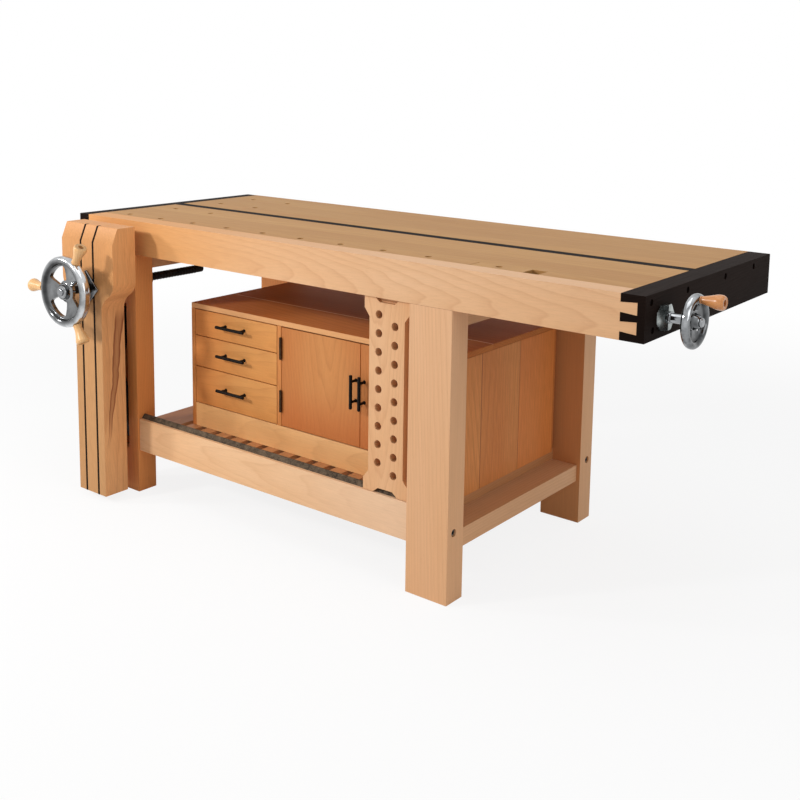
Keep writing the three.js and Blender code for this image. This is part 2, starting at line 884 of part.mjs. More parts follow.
function viseNut() {
  const plateSpan = [legDepth + fit, legDepth + fit + nutPlate];
  const plate = box(around(viseCentre, nutSide), plateSpan, around(screwHeight, nutSide));
  const barrelSpan = [plateSpan[1] - fit, plateSpan[1] + nutLength];
  const barrel = rod('y', nutRadius, barrelSpan, screwAxis, turnedSides);
  const boreSpan = [legDepth, plateSpan[1] + nutLength + fit];
  const bore = rod('y', screwRadius + fit, boreSpan, screwAxis, turnedSides);
  return cut(join(plate, barrel), bore);
}

// A handwheel's half section: hub, dished conical web and rounded rim, with +t towards the hand
function wheelProfile(radius, rim, width, web, setback, hub, length, bore) {
  const round = rim / 2;
  const outer = radius - round;
  const half = width / 2;
  const webFront = -setback + web / 2;
  const webBack = -setback - web / 2;
  return [
    [bore, -length / 2],
    [hub, -length / 2],
    [hub, webBack],
    ...arc(outer, -half + round, round, 180 + rimFoot, 360),
    ...arc(outer, half - round, round, 0, 180 - rimFoot),
    [hub, webFront],
    [hub, length / 2],
    [bore, length / 2],
    [bore, -length / 2],
  ];
}

function wheelOpening(inner, outer, angle) {
  const half = THREE.MathUtils.degToRad(openingSweep / 2);
  const middle = THREE.MathUtils.degToRad(angle);
  const shape = new THREE.Shape();
  shape.absarc(0, 0, outer, middle - half, middle + half, false);
  shape.absarc(0, 0, inner, middle + half, middle - half, true);
  return shape;
}

const betweenSpokes = spokeAngles.map((angle) => angle + 180);

function handwheel() {
  const profile = wheelProfile(
    wheelRadius, wheelRim, wheelWidth, webThickness, webSetback, hubRadius, hubLength, spigotRadius + fit,
  );
  const wheel = solidOf(lathe(profile.map(([r, t]) => [r, -t]), wheelSides));
  const depth = [-hubLength, hubLength];
  const openings = betweenSpokes.map((angle) => {
    return alongY(wheelOpening(openingInner, openingOuter, angle), depth);
  });
  return cut(wheel, ...openings).translate([viseCentre, wheelPlane, screwHeight]);
}

// A flared turned grip with a drilled end, from its root at zero
function gripProfile(length, root, waist, swell, end, hole) {
  const bellyStart = length * gripWaistShare;
  const belly = length * gripBellyShare;
  const points = [[0, 0], [root, 0], [waist, bellyStart]];
  for (let i = 1; i <= curveSteps; i += 1) {
    const along = i / curveSteps;
    const eased = (1 - Math.cos(Math.PI * along)) / 2;
    points.push([waist + (swell - waist) * eased, bellyStart + (belly - bellyStart) * along]);
  }
  points.push([end + (swell - end) * gripLip, (belly + length) / 2]);
  points.push([end, length], [hole, length], [hole, length - knobHoleDepth], [0, length - knobHoleDepth]);
  return points;
}

function knob(angle) {
  const profile = gripProfile(knobLength, knobRoot, knobWaist, knobEnd, knobMouth, knobHole);
  const geometry = lathe(profile, turnedSides);
  geometry.translate(0, wheelRadius + fit, 0);
  geometry.rotateZ(-Math.PI / 2);
  geometry.rotateY(-THREE.MathUtils.degToRad(angle));
  geometry.translate(viseCentre, wheelPlane, screwHeight);
  return solidOf(geometry);
}

// The arms hang from their pins and cross halfway; both lean by the same angle.
const armReach = armPinInset - chopArmPinY;
const armLean = Math.asin(armReach / armLength);
const legArmX = [viseCentre - armSpacing / 2 - armThickness, viseCentre - armSpacing / 2];
const chopArmX = [viseCentre + armSpacing / 2, viseCentre + armSpacing / 2 + armThickness];

function arm(pinY, towards, span, crossHole) {
  const half = armWidth / 2;
  const shape = new THREE.Shape();
  shape.absarc(0, 0, half, 0, Math.PI, false);
  shape.absarc(0, -armLength, half, Math.PI, 2 * Math.PI, false);
  const pinHole = new THREE.Path();
  pinHole.absarc(0, 0, armPinRadius + fit, 0, 2 * Math.PI);
  shape.holes.push(pinHole);
  if (crossHole) {
    const hole = new THREE.Path();
    hole.absarc(0, -armLength / 2, crossPinRadius + crossPinSlack, 0, 2 * Math.PI);
    shape.holes.push(hole);
  }
  const lean = towards * armLean;
  const geometry = extrusion(shape, armThickness);
  geometry.rotateZ(lean);
  geometry.rotateX(Math.PI / 2);
  geometry.rotateZ(Math.PI / 2);
  geometry.translate(span[0], pinY, armPinHeight);
  return solidOf(geometry);
}

function legArm() {
  const middle = [(armPinInset + chopArmPinY) / 2, armPinHeight - (armLength * Math.cos(armLean)) / 2];
  const crossPin = rod('x', crossPinRadius, [legArmX[1] - fit, chopArmX[1]], middle);
  return join(arm(armPinInset, -1, legArmX, false), crossPin);
}

const chopArm = () => arm(chopArmPinY, 1, chopArmX, true);
const armPinSpan = [viseCentre - armPinLength / 2, viseCentre + armPinLength / 2 - fit];
const armPin = (y) => rod('x', armPinRadius, armPinSpan, [y, armPinHeight]);

// Wagon vise: wheel, screw, flange and the travelling dog block

const tailWheelPlane = topLength + tailWheelStandoff;
const flangeEnd = topLength + fit + hexLength;

function dogBlock() {
  const start = slotStart + blockParking;
  const span = [start, start + blockLength];
  const y = [laminateThickness + fit + slideFit, slotBack - slideFit];
  const body = box(span, y, [topUnder + blockDrop, benchHeight]);
  const tongue = box(
    span,
    [laminateThickness - guideDepth + slideFit, slotBack + guideDepth - slideFit],
    around(tailAxis[1] - guideDrop, guideHeight - slideFit),
  );
  const bore = rod('x', tailScrewRadius + fit, [span[1] - blockBore, span[1] + fit], tailAxis);
  return cut(join(body, tongue), bore, dogHole(slotStart + blockDog, dogRow));
}

// A hexagon boss with a flat on top
function tailFlange() {
  const geometry = new THREE.CylinderGeometry(hexRadius, hexRadius, hexLength, hexSides);
  geometry.rotateY(Math.PI / hexSides);
  geometry.rotateZ(-Math.PI / 2);
  geometry.translate(topLength + fit + hexLength / 2, ...tailAxis);
  const bore = rod('x', tailScrewRadius + fit, [topLength, flangeEnd + fit], tailAxis);
  return cut(solidOf(geometry), bore);
}

function tailScrew() {
  const back = tailWheelPlane - tailHubLength / 2;
  const front = tailWheelPlane + tailHubLength / 2;
  const profile = [
    [0, tailScrewTip],
    [tailScrewRadius, tailScrewTip],
    [tailScrewRadius, flangeEnd + fit],
    [tailCollarRadius, flangeEnd + fit],
    [tailCollarRadius, flangeEnd + fit + tailCollarLength],
    [tailScrewRadius, flangeEnd + fit + tailCollarLength],
    [tailScrewRadius, back - fit],
    [tailSpigotRadius, back - fit],
    [tailSpigotRadius, front + fit],
    [tailCapRadius, front + fit],
    [tailCapRadius, front + fit + tailCapLength],
    [0, front + fit + tailCapLength],
  ];
  const geometry = lathe(profile, turnedSides);
  geometry.rotateZ(-Math.PI / 2);
  geometry.translate(0, ...tailAxis);
  return solidOf(geometry);
}

function tailWheel() {
  const profile = wheelProfile(
    tailWheelRadius, tailWheelRim, tailWheelWidth, tailWebThickness, tailWebSetback,
    tailHubRadius, tailHubLength, tailSpigotRadius + fit,
  );
  const geometry = lathe(profile, wheelSides);
  geometry.rotateZ(-Math.PI / 2);
  const depth = [-tailHubLength, tailHubLength];
  const openings = spokeAngles.map((angle) => {
    return alongX(wheelOpening(tailOpeningInner, tailOpeningOuter, angle - tailOpeningTurn), depth);
  });
  return cut(solidOf(geometry), ...openings).translate([tailWheelPlane, ...tailAxis]);
}

function crankGrip() {
  const profile = gripProfile(crankLength, crankRoot, crankRoot, crankSwell, crankEnd, knobHole);
  const geometry = lathe(profile, turnedSides);
  geometry.rotateZ(-Math.PI / 2);
  geometry.translate(tailWheelPlane + tailWheelWidth / 2 + fit, tailAxis[0], tailAxis[1] + crankRadius);
  return solidOf(geometry);
}

// Assembly

place('front_laminate', frontLaminate(), beech);
place('front_slab', frontSlab(), beech);
place('rear_slab', rearSlab(), beech);
place('gap_stop', gapStop, darkWood);
place('left_end_cap', leftCap, darkWood);
place('right_end_cap', rightCap(), darkWood);
place('left_front_leg', viseLeg(), beech);
place('left_rear_leg', leg(-1, false), beech);
place('right_front_leg', leg(1, true), beech);
place('right_rear_leg', leg(1, false), beech);
place('front_rail', rail(railSetback), beech);
place('rear_rail', rail(rearRailStart), beech);
place('left_stretcher', crossPiece(leftLegStart, stretcherBottom, stretcherHeight), beech);
place('right_stretcher', crossPiece(rightLegStart, stretcherBottom, stretcherHeight), beech);
place('left_bearer', crossPiece(leftLegStart, bearerBottom, bearerHeight), beech);
place('right_bearer', crossPiece(rightLegStart, bearerBottom, bearerHeight), beech);
place('slatted_shelf', slattedShelf(), beech);
place('deadman_track', alongX(ridge(0), betweenLegs), blackSteel);
place('deadman', deadman(), beech);
place('cabinet_left_side', join(leftSide, ...runners(insideLeft, 1, 0)), cabinetBeech);
place('cabinet_right_side', rightSide, cabinetBeech);
place('cabinet_divider', join(divider, ...runners(dividerStart, -1, 0)), cabinetBeech);
place('cabinet_lid', cabinetLid, cabinetBeech);
place('cabinet_base', cabinetBase(), cabinetBeech);
place('cabinet_back', cabinetRear, cabinetBeech);
['lower', 'middle', 'upper'].forEach((level, i) => {
  place(`${level}_drawer`, drawer(i), cabinetBeech);
  place(`${level}_drawer_pull`, drawerPull(i), blackSteel);
});
[['left', -1], ['right', 1]].forEach(([name, side]) => {
  place(`${name}_door`, door(side), cabinetBeech);
  place(`${name}_door_pull`, doorPull(side), blackSteel);
  place(`${name}_lower_hinge`, hinge(side, hingeHeights[0]), bronze);
  place(`${name}_upper_hinge`, hinge(side, hingeHeights[1]), bronze);
});
place('vise_chop', chop(), beech);
place('chop_left_inlay', inlay(-1), darkWood);
place('chop_right_inlay', inlay(1), darkWood);
place('vise_plate', visePlate(), steel);
place('vise_screw', viseScrew(), blackSteel);
place('vise_nut', viseNut(), blackSteel);
place('vise_handwheel', handwheel(), steel);
['upper', 'left', 'lower'].forEach((name, i) => place(`${name}_knob`, knob(spokeAngles[i]), turnedBeech));
place('leg_arm', legArm(), blackSteel);
place('chop_arm', chopArm(), blackSteel);
place('leg_arm_pin', armPin(armPinInset), steel);
place('chop_arm_pin', armPin(chopArmPinY), steel);
place('tail_wheel', tailWheel(), chrome);
place('crank_grip', crankGrip(), turnedBeech);
place('tail_screw', tailScrew(), steel);
place('tail_flange', tailFlange(), chrome);
place('dog_block', dogBlock(), beech);

export default bench;
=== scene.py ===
import json
import math

import bmesh
import bpy
from mathutils import Matrix, Vector


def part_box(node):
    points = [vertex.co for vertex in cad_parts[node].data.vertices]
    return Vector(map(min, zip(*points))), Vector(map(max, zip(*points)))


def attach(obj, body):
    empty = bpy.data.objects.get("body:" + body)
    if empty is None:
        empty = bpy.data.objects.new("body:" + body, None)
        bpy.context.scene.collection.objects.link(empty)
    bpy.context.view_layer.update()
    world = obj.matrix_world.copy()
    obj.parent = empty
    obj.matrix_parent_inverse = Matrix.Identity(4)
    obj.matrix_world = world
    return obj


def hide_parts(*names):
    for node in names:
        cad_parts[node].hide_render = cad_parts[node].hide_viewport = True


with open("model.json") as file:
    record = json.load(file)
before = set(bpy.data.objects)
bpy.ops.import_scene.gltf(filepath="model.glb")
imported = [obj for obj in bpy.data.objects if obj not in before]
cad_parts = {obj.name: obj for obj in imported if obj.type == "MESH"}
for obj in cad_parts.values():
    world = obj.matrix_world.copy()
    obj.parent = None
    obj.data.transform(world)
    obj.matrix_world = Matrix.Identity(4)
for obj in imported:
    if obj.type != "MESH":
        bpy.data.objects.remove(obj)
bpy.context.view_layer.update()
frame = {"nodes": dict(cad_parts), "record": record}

nodes = frame["nodes"]
bodyOf = {}
for bodyName, members in frame["record"]["behaviour"]["bodies"].items():
    for member in members:
        bodyOf[member] = bodyName

mm = 0.001
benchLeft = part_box("left_end_cap")[0].x
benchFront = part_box("right_front_leg")[0].y


def at(x, y, z):  # millimetres from the left end, the front face and the floor
    return Vector((benchLeft + x * mm, benchFront + y * mm, z * mm))


benchLength = 1950
viseX, viseZ = 201, 663  # where the leg vise's screw runs
tailY, tailZ = 89, 802  # and the wagon vise's


def paint(red, green, blue):  # a colour as it is seen, 0 to 255
    seen = [c / 255 for c in (red, green, blue)]
    linear = [c / 12.92 if c <= 0.04045 else ((c + 0.055) / 1.055) ** 2.4 for c in seen]
    return (*linear, 1.0)


print("frame loaded:", len(nodes), "nodes")

# camera, light and floor

view = {
    "place": (2953.2, -2142.1, 1331.9),
    "turn": 37.84,
    "tilt": -8.42,
    "roll": 0.83,
    "lens": 50.047,
    "sensor": 36,
    "shift": -0.21,
}


def setCamera():
    bpy.ops.object.camera_add(location=at(*view["place"]))
    camera = bpy.context.object
    turn = Matrix.Rotation(math.radians(view["turn"]), 4, "Z")
    tilt = Matrix.Rotation(math.radians(90 + view["tilt"]), 4, "X")
    roll = Matrix.Rotation(math.radians(view["roll"]), 4, "Z")
    camera.rotation_euler = (turn @ tilt @ roll).to_euler()
    camera.data.lens = view["lens"]
    camera.data.sensor_width = view["sensor"]
    camera.data.shift_y = view["shift"]
    bpy.context.scene.camera = camera


studio = {
    "aim": (0.0, 0.0, 0.5),
    "lamps": {
        "keyLamp": {"place": (-2.0, -3.2, 2.3), "size": 0.35, "power": 66},
        "sideLamp": {"place": (-3.0, -2.2, 1.9), "size": 0.35, "power": 39},
        "fillLamp": {"place": (3.9, -0.6, 2.0), "size": 2.2, "power": 34},
        "topLamp": {"place": (0.3, -0.4, 3.6), "size": 2.6, "power": 30},
    },
    "skyTint": (0.97, 0.985, 1.0, 1.0),
    "skyLevel": 0.4,
    "floorTint": (0.86, 0.86, 0.86, 1.0),
    "floorGlow": 0.85,
    "floorSize": 40,
    "fadeStart": 1.6,
    "fadeEnd": 4.0,
}


def addNode(tree, kind, settings=None, sockets=None):
    made = tree.nodes.new("ShaderNode" + kind)
    for key, value in (settings or {}).items():
        setattr(made, key, value)
    for key, value in (sockets or {}).items():
        if isinstance(value, bpy.types.NodeSocket):
            tree.links.new(value, made.inputs[key])
        else:
            made.inputs[key].default_value = value
    return made


def calc(tree, operation, *values):
    sockets = dict(enumerate(values))
    return addNode(tree, "Math", {"operation": operation}, sockets).outputs[0]


def vectorCalc(tree, operation, *values):
    sockets = dict(enumerate(values))
    return addNode(tree, "VectorMath", {"operation": operation}, sockets).outputs[0]


def mixColour(tree, kind, factor, first, second):
    settings = {"data_type": "RGBA", "blend_type": kind}
    return addNode(tree, "Mix", settings, {0: factor, 6: first, 7: second}).outputs[2]


def ramp(tree, factor, stops):
    made = addNode(tree, "ValToRGB", None, {"Fac": factor})
    stops = list(stops)
    elements = made.color_ramp.elements
    while len(elements) < len(stops):
        elements.new(1.0)
    for element, (spot, colour) in zip(elements, stops):
        element.position = spot
        element.color = colour
    return made.outputs["Color"]


def grey(level):
    return (level, level, level, 1.0)


def levels(tree, factor, *stops):  # a ramp of plain levels
    return ramp(tree, factor, [(spot, grey(level)) for spot, level in stops])


def fade(tree, factor, spots, low, high):
    return levels(tree, factor, (spots[0], low), (spots[1], high))


def mapRange(tree, value, source, target, way="LINEAR"):
    sockets = {
        "Value": value,
        "From Min": source[0],
        "From Max": source[1],
        "To Min": target[0],
        "To Max": target[1],
    }
    return addNode(tree, "MapRange", {"interpolation_type": way}, sockets).outputs[0]


def partsOf(tree, vector):  # its x, y and z
    return addNode(tree, "SeparateXYZ", None, {0: vector}).outputs


def lengthOf(tree, vector):
    return addNode(tree, "VectorMath", {"operation": "LENGTH"}, {0: vector}).outputs["Value"]


def seenDirectly(tree):  # camera, mirror and glass rays
    path = addNode(tree, "LightPath")
    first = calc(tree, "MAXIMUM", path.outputs["Is Camera Ray"], path.outputs["Is Glossy Ray"])
    return calc(tree, "MAXIMUM", first, path.outputs["Is Transmission Ray"])


def mixShaders(tree, factor, first, second):
    sockets = {0: factor, 1: first.outputs[0], 2: second.outputs[0]}
    return addNode(tree, "MixShader", None, sockets).outputs[0]


def setLight():
    for name, lamp in studio["lamps"].items():
        bpy.ops.object.light_add(type="AREA", location=lamp["place"])
        light = bpy.context.object
        light.name = name
        light.data.size = lamp["size"]
        light.data.energy = lamp["power"]
        aim = Vector(studio["aim"]) - Vector(lamp["place"])
        light.rotation_euler = aim.to_track_quat("-Z", "Y").to_euler()
    world = bpy.data.worlds.new("paleStudio")
    world.use_nodes = True
    tree = world.node_tree
    tree.nodes.clear()
    glow = {"Color": studio["skyTint"], "Strength": studio["skyLevel"]}
    sky = addNode(tree, "Background", None, glow)
    white = addNode(tree, "Background", None, {"Color": grey(1.0), "Strength": 1.0})
    mixed = mixShaders(tree, seenDirectly(tree), sky, white)
    addNode(tree, "OutputWorld", None, {"Surface": mixed})
    bpy.context.scene.world = world
    bpy.context.scene.view_settings.view_transform = "Standard"


def layFloor():
    bpy.ops.object.select_all(action="DESELECT")
    bpy.ops.mesh.primitive_plane_add(size=studio["floorSize"])
    floor = bpy.context.object
    floor.name = "studioFloor"
    look = bpy.data.materials.new("paleFloor")
    look.use_nodes = True
    tree = look.node_tree
    tree.nodes.clear()
    place = addNode(tree, "TexCoord").outputs["Object"]
    bounds = (studio["fadeStart"], studio["fadeEnd"])
    bright = mapRange(tree, lengthOf(tree, place), bounds, (studio["floorGlow"], 1.0), "SMOOTHSTEP")
    glow = calc(tree, "MULTIPLY", bright, seenDirectly(tree))
    matt = addNode(tree, "BsdfDiffuse", None, {"Color": studio["floorTint"]})
    white = addNode(tree, "Emission", None, {"Color": grey(1.0), "Strength": 1.0})
    addNode(tree, "OutputMaterial", None, {"Surface": mixShaders(tree, glow, matt, white)})
    floor.data.materials.append(look)


setCamera()
setLight()
layFloor()
print("camera, light and floor set")

# wood: growth rings round a leaning pith, fibres, flecks and slow changes of tone, with painted light and
# shade on some boards

grainTurns = {"x": (0, 0, 0), "y": (0, 0, -90), "z": (0, 90, 0)}
axisIndex = {"x": 0, "y": 1, "z": 2}

timber = {  # what a wood has, unless its own entry says otherwise
    "slot": "beech", "lean": (0, 2, 2), "ringGap": 11,
    "ringRate": 0.314,  # wave scale for one ring in a metre
    "stretch": 0.11,
    "swirl": 9.0, "swirlDetail": 3.0, "swirlScale": 0.2, "swirlRough": 0.5,
    "lateWood": [(0.0, 0.0), (0.45, 0.06), (0.8, 0.5), (0.92, 1.0), (1.0, 0.0)],
    "toneAcross": 5.0, "toneAlong": 1.0, "toneDetail": 3.0, "toneRange": (0.3, 0.7),
    "fibre": 0.08, "fibreAcross": 380, "fibreAlong": 5.0, "fibreDetail": 4.0, "fibreRange": (0.3, 0.7),
    "fleck": 0.22, "fleckAcross": 620, "fleckAlong": 60, "fleckDetail": 1.0, "fleckRange": (0.66, 0.74),
    "endGrain": 0.8, "endRange": (0.6, 0.85),
    "frontRange": (0.5, 0.8),
    "stripShift": (3.0, 0.4, 0.4),
    "gloss": (0.45, 0.6), "shine": 0.22, "coat": 0.0, "coatRough": 0.25,
    "bump": 0.18, "bumpDepth": 0.0005, "bumpFibre": 0.6, "bumpFleck": 0.4,
}
stripRule = {"seam": 0.6, "seamDepth": 0.3}  # a seam's half width in millimetres, and its strength


def startLook(name):
    look = bpy.data.materials.new(name)
    look.use_nodes = True
    tree = look.node_tree
    tree.nodes.clear()
    shader = addNode(tree, "BsdfPrincipled")
    addNode(tree, "OutputMaterial", None, {"Surface": shader.outputs["BSDF"]})
    return look, tree, shader


def finishLook(tree, shader, spec, colour, rough, height):
    tree.links.new(colour, shader.inputs["Base Color"])
    tree.links.new(rough, shader.inputs["Roughness"])
    sockets = {"Height": height, "Strength": spec["bump"], "Distance": spec["bumpDepth"]}
    tree.links.new(addNode(tree, "Bump", None, sockets).outputs[0], shader.inputs["Normal"])
    shader.inputs["Specular IOR Level"].default_value = spec["shine"]


def scaled(tree, vector, along, across):
    return vectorCalc(tree, "MULTIPLY", vector, (along, across, across))


def noise(tree, vector, scale, detail):
    sockets = {"Vector": vector, "Scale": scale, "Detail": detail}
    return addNode(tree, "TexNoise", None, sockets).outputs["Fac"]


def turnedBy(tree, vector, degrees):
    angles = [math.radians(a) for a in degrees]
    return addNode(tree, "Mapping", None, {"Vector": vector, "Rotation": angles}).outputs[0]


def benchPlace(axis, place):  # one coordinate of a place given in bench millimetres
    return at(place, place, place)[axisIndex[axis]]


# a glued-up board: each strip's own chance, and the seams between the strips
def stripsAcross(tree, place, strips):
    across = partsOf(tree, place)[axisIndex[strips["axis"]]]
    start = benchPlace(strips["axis"], strips["start"])
    steps = calc(tree, "DIVIDE", calc(tree, "SUBTRACT", across, start), strips["width"] * mm)
    number = calc(tree, "FLOOR", steps)
    chance = addNode(tree, "TexWhiteNoise", {"noise_dimensions": "1D"}, {"W": number})
    edge = calc(tree, "ABSOLUTE", calc(tree, "SUBTRACT", calc(tree, "FRACT", steps), 0.5))
    seam = calc(tree, "GREATER_THAN", edge, 0.5 - strips["seam"] / strips["width"])
    return chance, calc(tree, "MULTIPLY", seam, strips["seamDepth"])


# noise drawn out along the grain: fibre, fleck or tone
def alongGrain(tree, turned, spec, kind):
    stretched = scaled(tree, turned, spec[kind + "Along"], spec[kind + "Across"])
    return noise(tree, stretched, 1.0, spec[kind + "Detail"])


def growthRings(tree, turned, spec):
    settings = {"wave_type": "RINGS", "rings_direction": "X", "wave_profile": "SAW"}
    sockets = {
        "Vector": scaled(tree, turned, spec["stretch"], 1.0),
        "Scale": spec["ringRate"] / (spec["ringGap"] * mm),
        "Distortion": spec["swirl"],
        "Detail": spec["swirlDetail"],
        "Detail Scale": spec["swirlScale"],
        "Detail Roughness": spec["swirlRough"],
    }
    return addNode(tree, "TexWave", settings, sockets).outputs["Fac"]


# a board that turns slowly to another colour along its length; on the drawer fronts this is painted shade
def colourDrift(tree, place, colour, streaks, drift):
    along = partsOf(tree, place)[axisIndex[drift["axis"]]]
    bounds = [benchPlace(drift["axis"], drift[end]) for end in ("start", "end")]
    factor = mapRange(tree, along, bounds, (0.0, drift["share"]), "SMOOTHSTEP")
    other = mixColour(tree, "MULTIPLY", 1.0, streaks, paint(*drift["colour"]))
    return mixColour(tree, "MIX", factor, colour, other)


# a dark heartwood tongue that wanders down one face
def heartStreak(tree, place, colour, streak):
    x, y, z = partsOf(tree, place)
    low, high = streak["low"], streak["high"]
    bounds = (low.z, high.z)
    climb = mapRange(tree, z, bounds, (low.y, high.y))
    wander = calc(tree, "SUBTRACT", noise(tree, place, streak["wanderScale"], streak["wanderDetail"]), 0.5)
    away = calc(tree, "SUBTRACT", y, climb)
    away = calc(tree, "ABSOLUTE", calc(tree, "MULTIPLY_ADD", wander, streak["wander"], away))
    width = mapRange(tree, z, bounds, streak["width"])
    factor = levels(tree, calc(tree, "DIVIDE", away, width), *streak["profile"])
    foot, top, side = streak["fade"]
    fades = [(z, low.z, low.z + foot), (z, high.z, high.z - top), (x, low.x - side, low.x)]
    for value, start, end in fades:
        share = mapRange(tree, value, (start, end), (0.0, 1.0), "SMOOTHSTEP")
        factor = calc(tree, "MULTIPLY", factor, share)
    return mixColour(tree, "MIX", factor, colour, paint(*streak["colour"]))


def woodLook(name, spec, heart):
    spec = {**timber, **spec}
    warm, pale, line = (paint(*tone) for tone in spec["tones"])
    look, tree, shader = startLook(name)
    coords = addNode(tree, "TexCoord")
    place = coords.outputs["Object"]
    turned = turnedBy(tree, vectorCalc(tree, "SUBTRACT", place, heart), grainTurns[spec["grain"]])
    turned = turnedBy(tree, turned, spec["lean"])
    if "strips" in spec:
        strips = {"seamTint": spec["tones"][2], **stripRule, **spec["strips"]}
        chance, seam = stripsAcross(tree, place, strips)
        turned = vectorCalc(tree, "MULTIPLY_ADD", chance.outputs["Color"], spec["stripShift"], turned)
    rings = growthRings(tree, turned, spec)
    fibres = alongGrain(tree, turned, spec, "fibre")
    flecks = alongGrain(tree, turned, spec, "fleck")
    tone = alongGrain(tree, turned, spec, "tone")
    body = ramp(tree, tone, zip(spec["toneRange"], (warm, pale)))
    late = calc(tree, "MULTIPLY", levels(tree, rings, *spec["lateWood"]), spec["figure"])
    late = calc(tree, "MULTIPLY", late, calc(tree, "ADD", tone, 0.5))
    colour = mixColour(tree, "MIX", late, body, line)
    streaks = fade(tree, fibres, spec["fibreRange"], 1.0 - spec["fibre"], 1.0)
    colour = mixColour(tree, "MULTIPLY", 1.0, colour, streaks)
    dashes = fade(tree, flecks, spec["fleckRange"], 0.0, 1.0)
    colour = mixColour(tree, "MIX", calc(tree, "MULTIPLY", dashes, spec["fleck"]), colour, line)
    facing = partsOf(tree, coords.outputs["Normal"])
    endwise = calc(tree, "ABSOLUTE", facing[axisIndex[spec["grain"]]])
    endShade = fade(tree, endwise, spec["endRange"], 1.0, spec["endGrain"])
    colour = mixColour(tree, "MULTIPLY", 1.0, colour, endShade)
    if "front" in spec:  # painted light and shade: the front face gets a colour of its own, for the light or shade that falls on it
        paintedFrontLight = fade(tree, calc(tree, "MULTIPLY", facing[1], -1.0), spec["frontRange"], 0.0, 1.0)
        front = mixColour(tree, "MULTIPLY", 1.0, streaks, paint(*spec["front"]))
        colour = mixColour(tree, "MIX", paintedFrontLight, colour, front)
    if "strips" in spec:
        tint = fade(tree, chance.outputs["Value"], (0.0, 1.0), 1.0 - strips["change"], 1.0)
        colour = mixColour(tree, "MULTIPLY", 1.0, colour, tint)
        seam = calc(tree, "MULTIPLY", seam, calc(tree, "SUBTRACT", 1.0, endwise))  # none on the end grain
        colour = mixColour(tree, "MIX", seam, colour, paint(*strips["seamTint"]))
    if "drift" in spec:
        colour = colourDrift(tree, place, colour, streaks, spec["drift"])
    if "streak" in spec:
        colour = heartStreak(tree, place, colour, spec["streak"])
    rough = mapRange(tree, fibres, (0.0, 1.0), spec["gloss"][::-1])
    raised = calc(tree, "MULTIPLY", fibres, spec["bumpFibre"])
    sunk = calc(tree, "MULTIPLY", dashes, spec["bumpFleck"])
    finishLook(tree, shader, spec, colour, rough, calc(tree, "SUBTRACT", raised, sunk))
    shader.inputs["Coat Weight"].default_value = spec["coat"]
    shader.inputs["Coat Roughness"].default_value = spec["coatRough"]
    return look


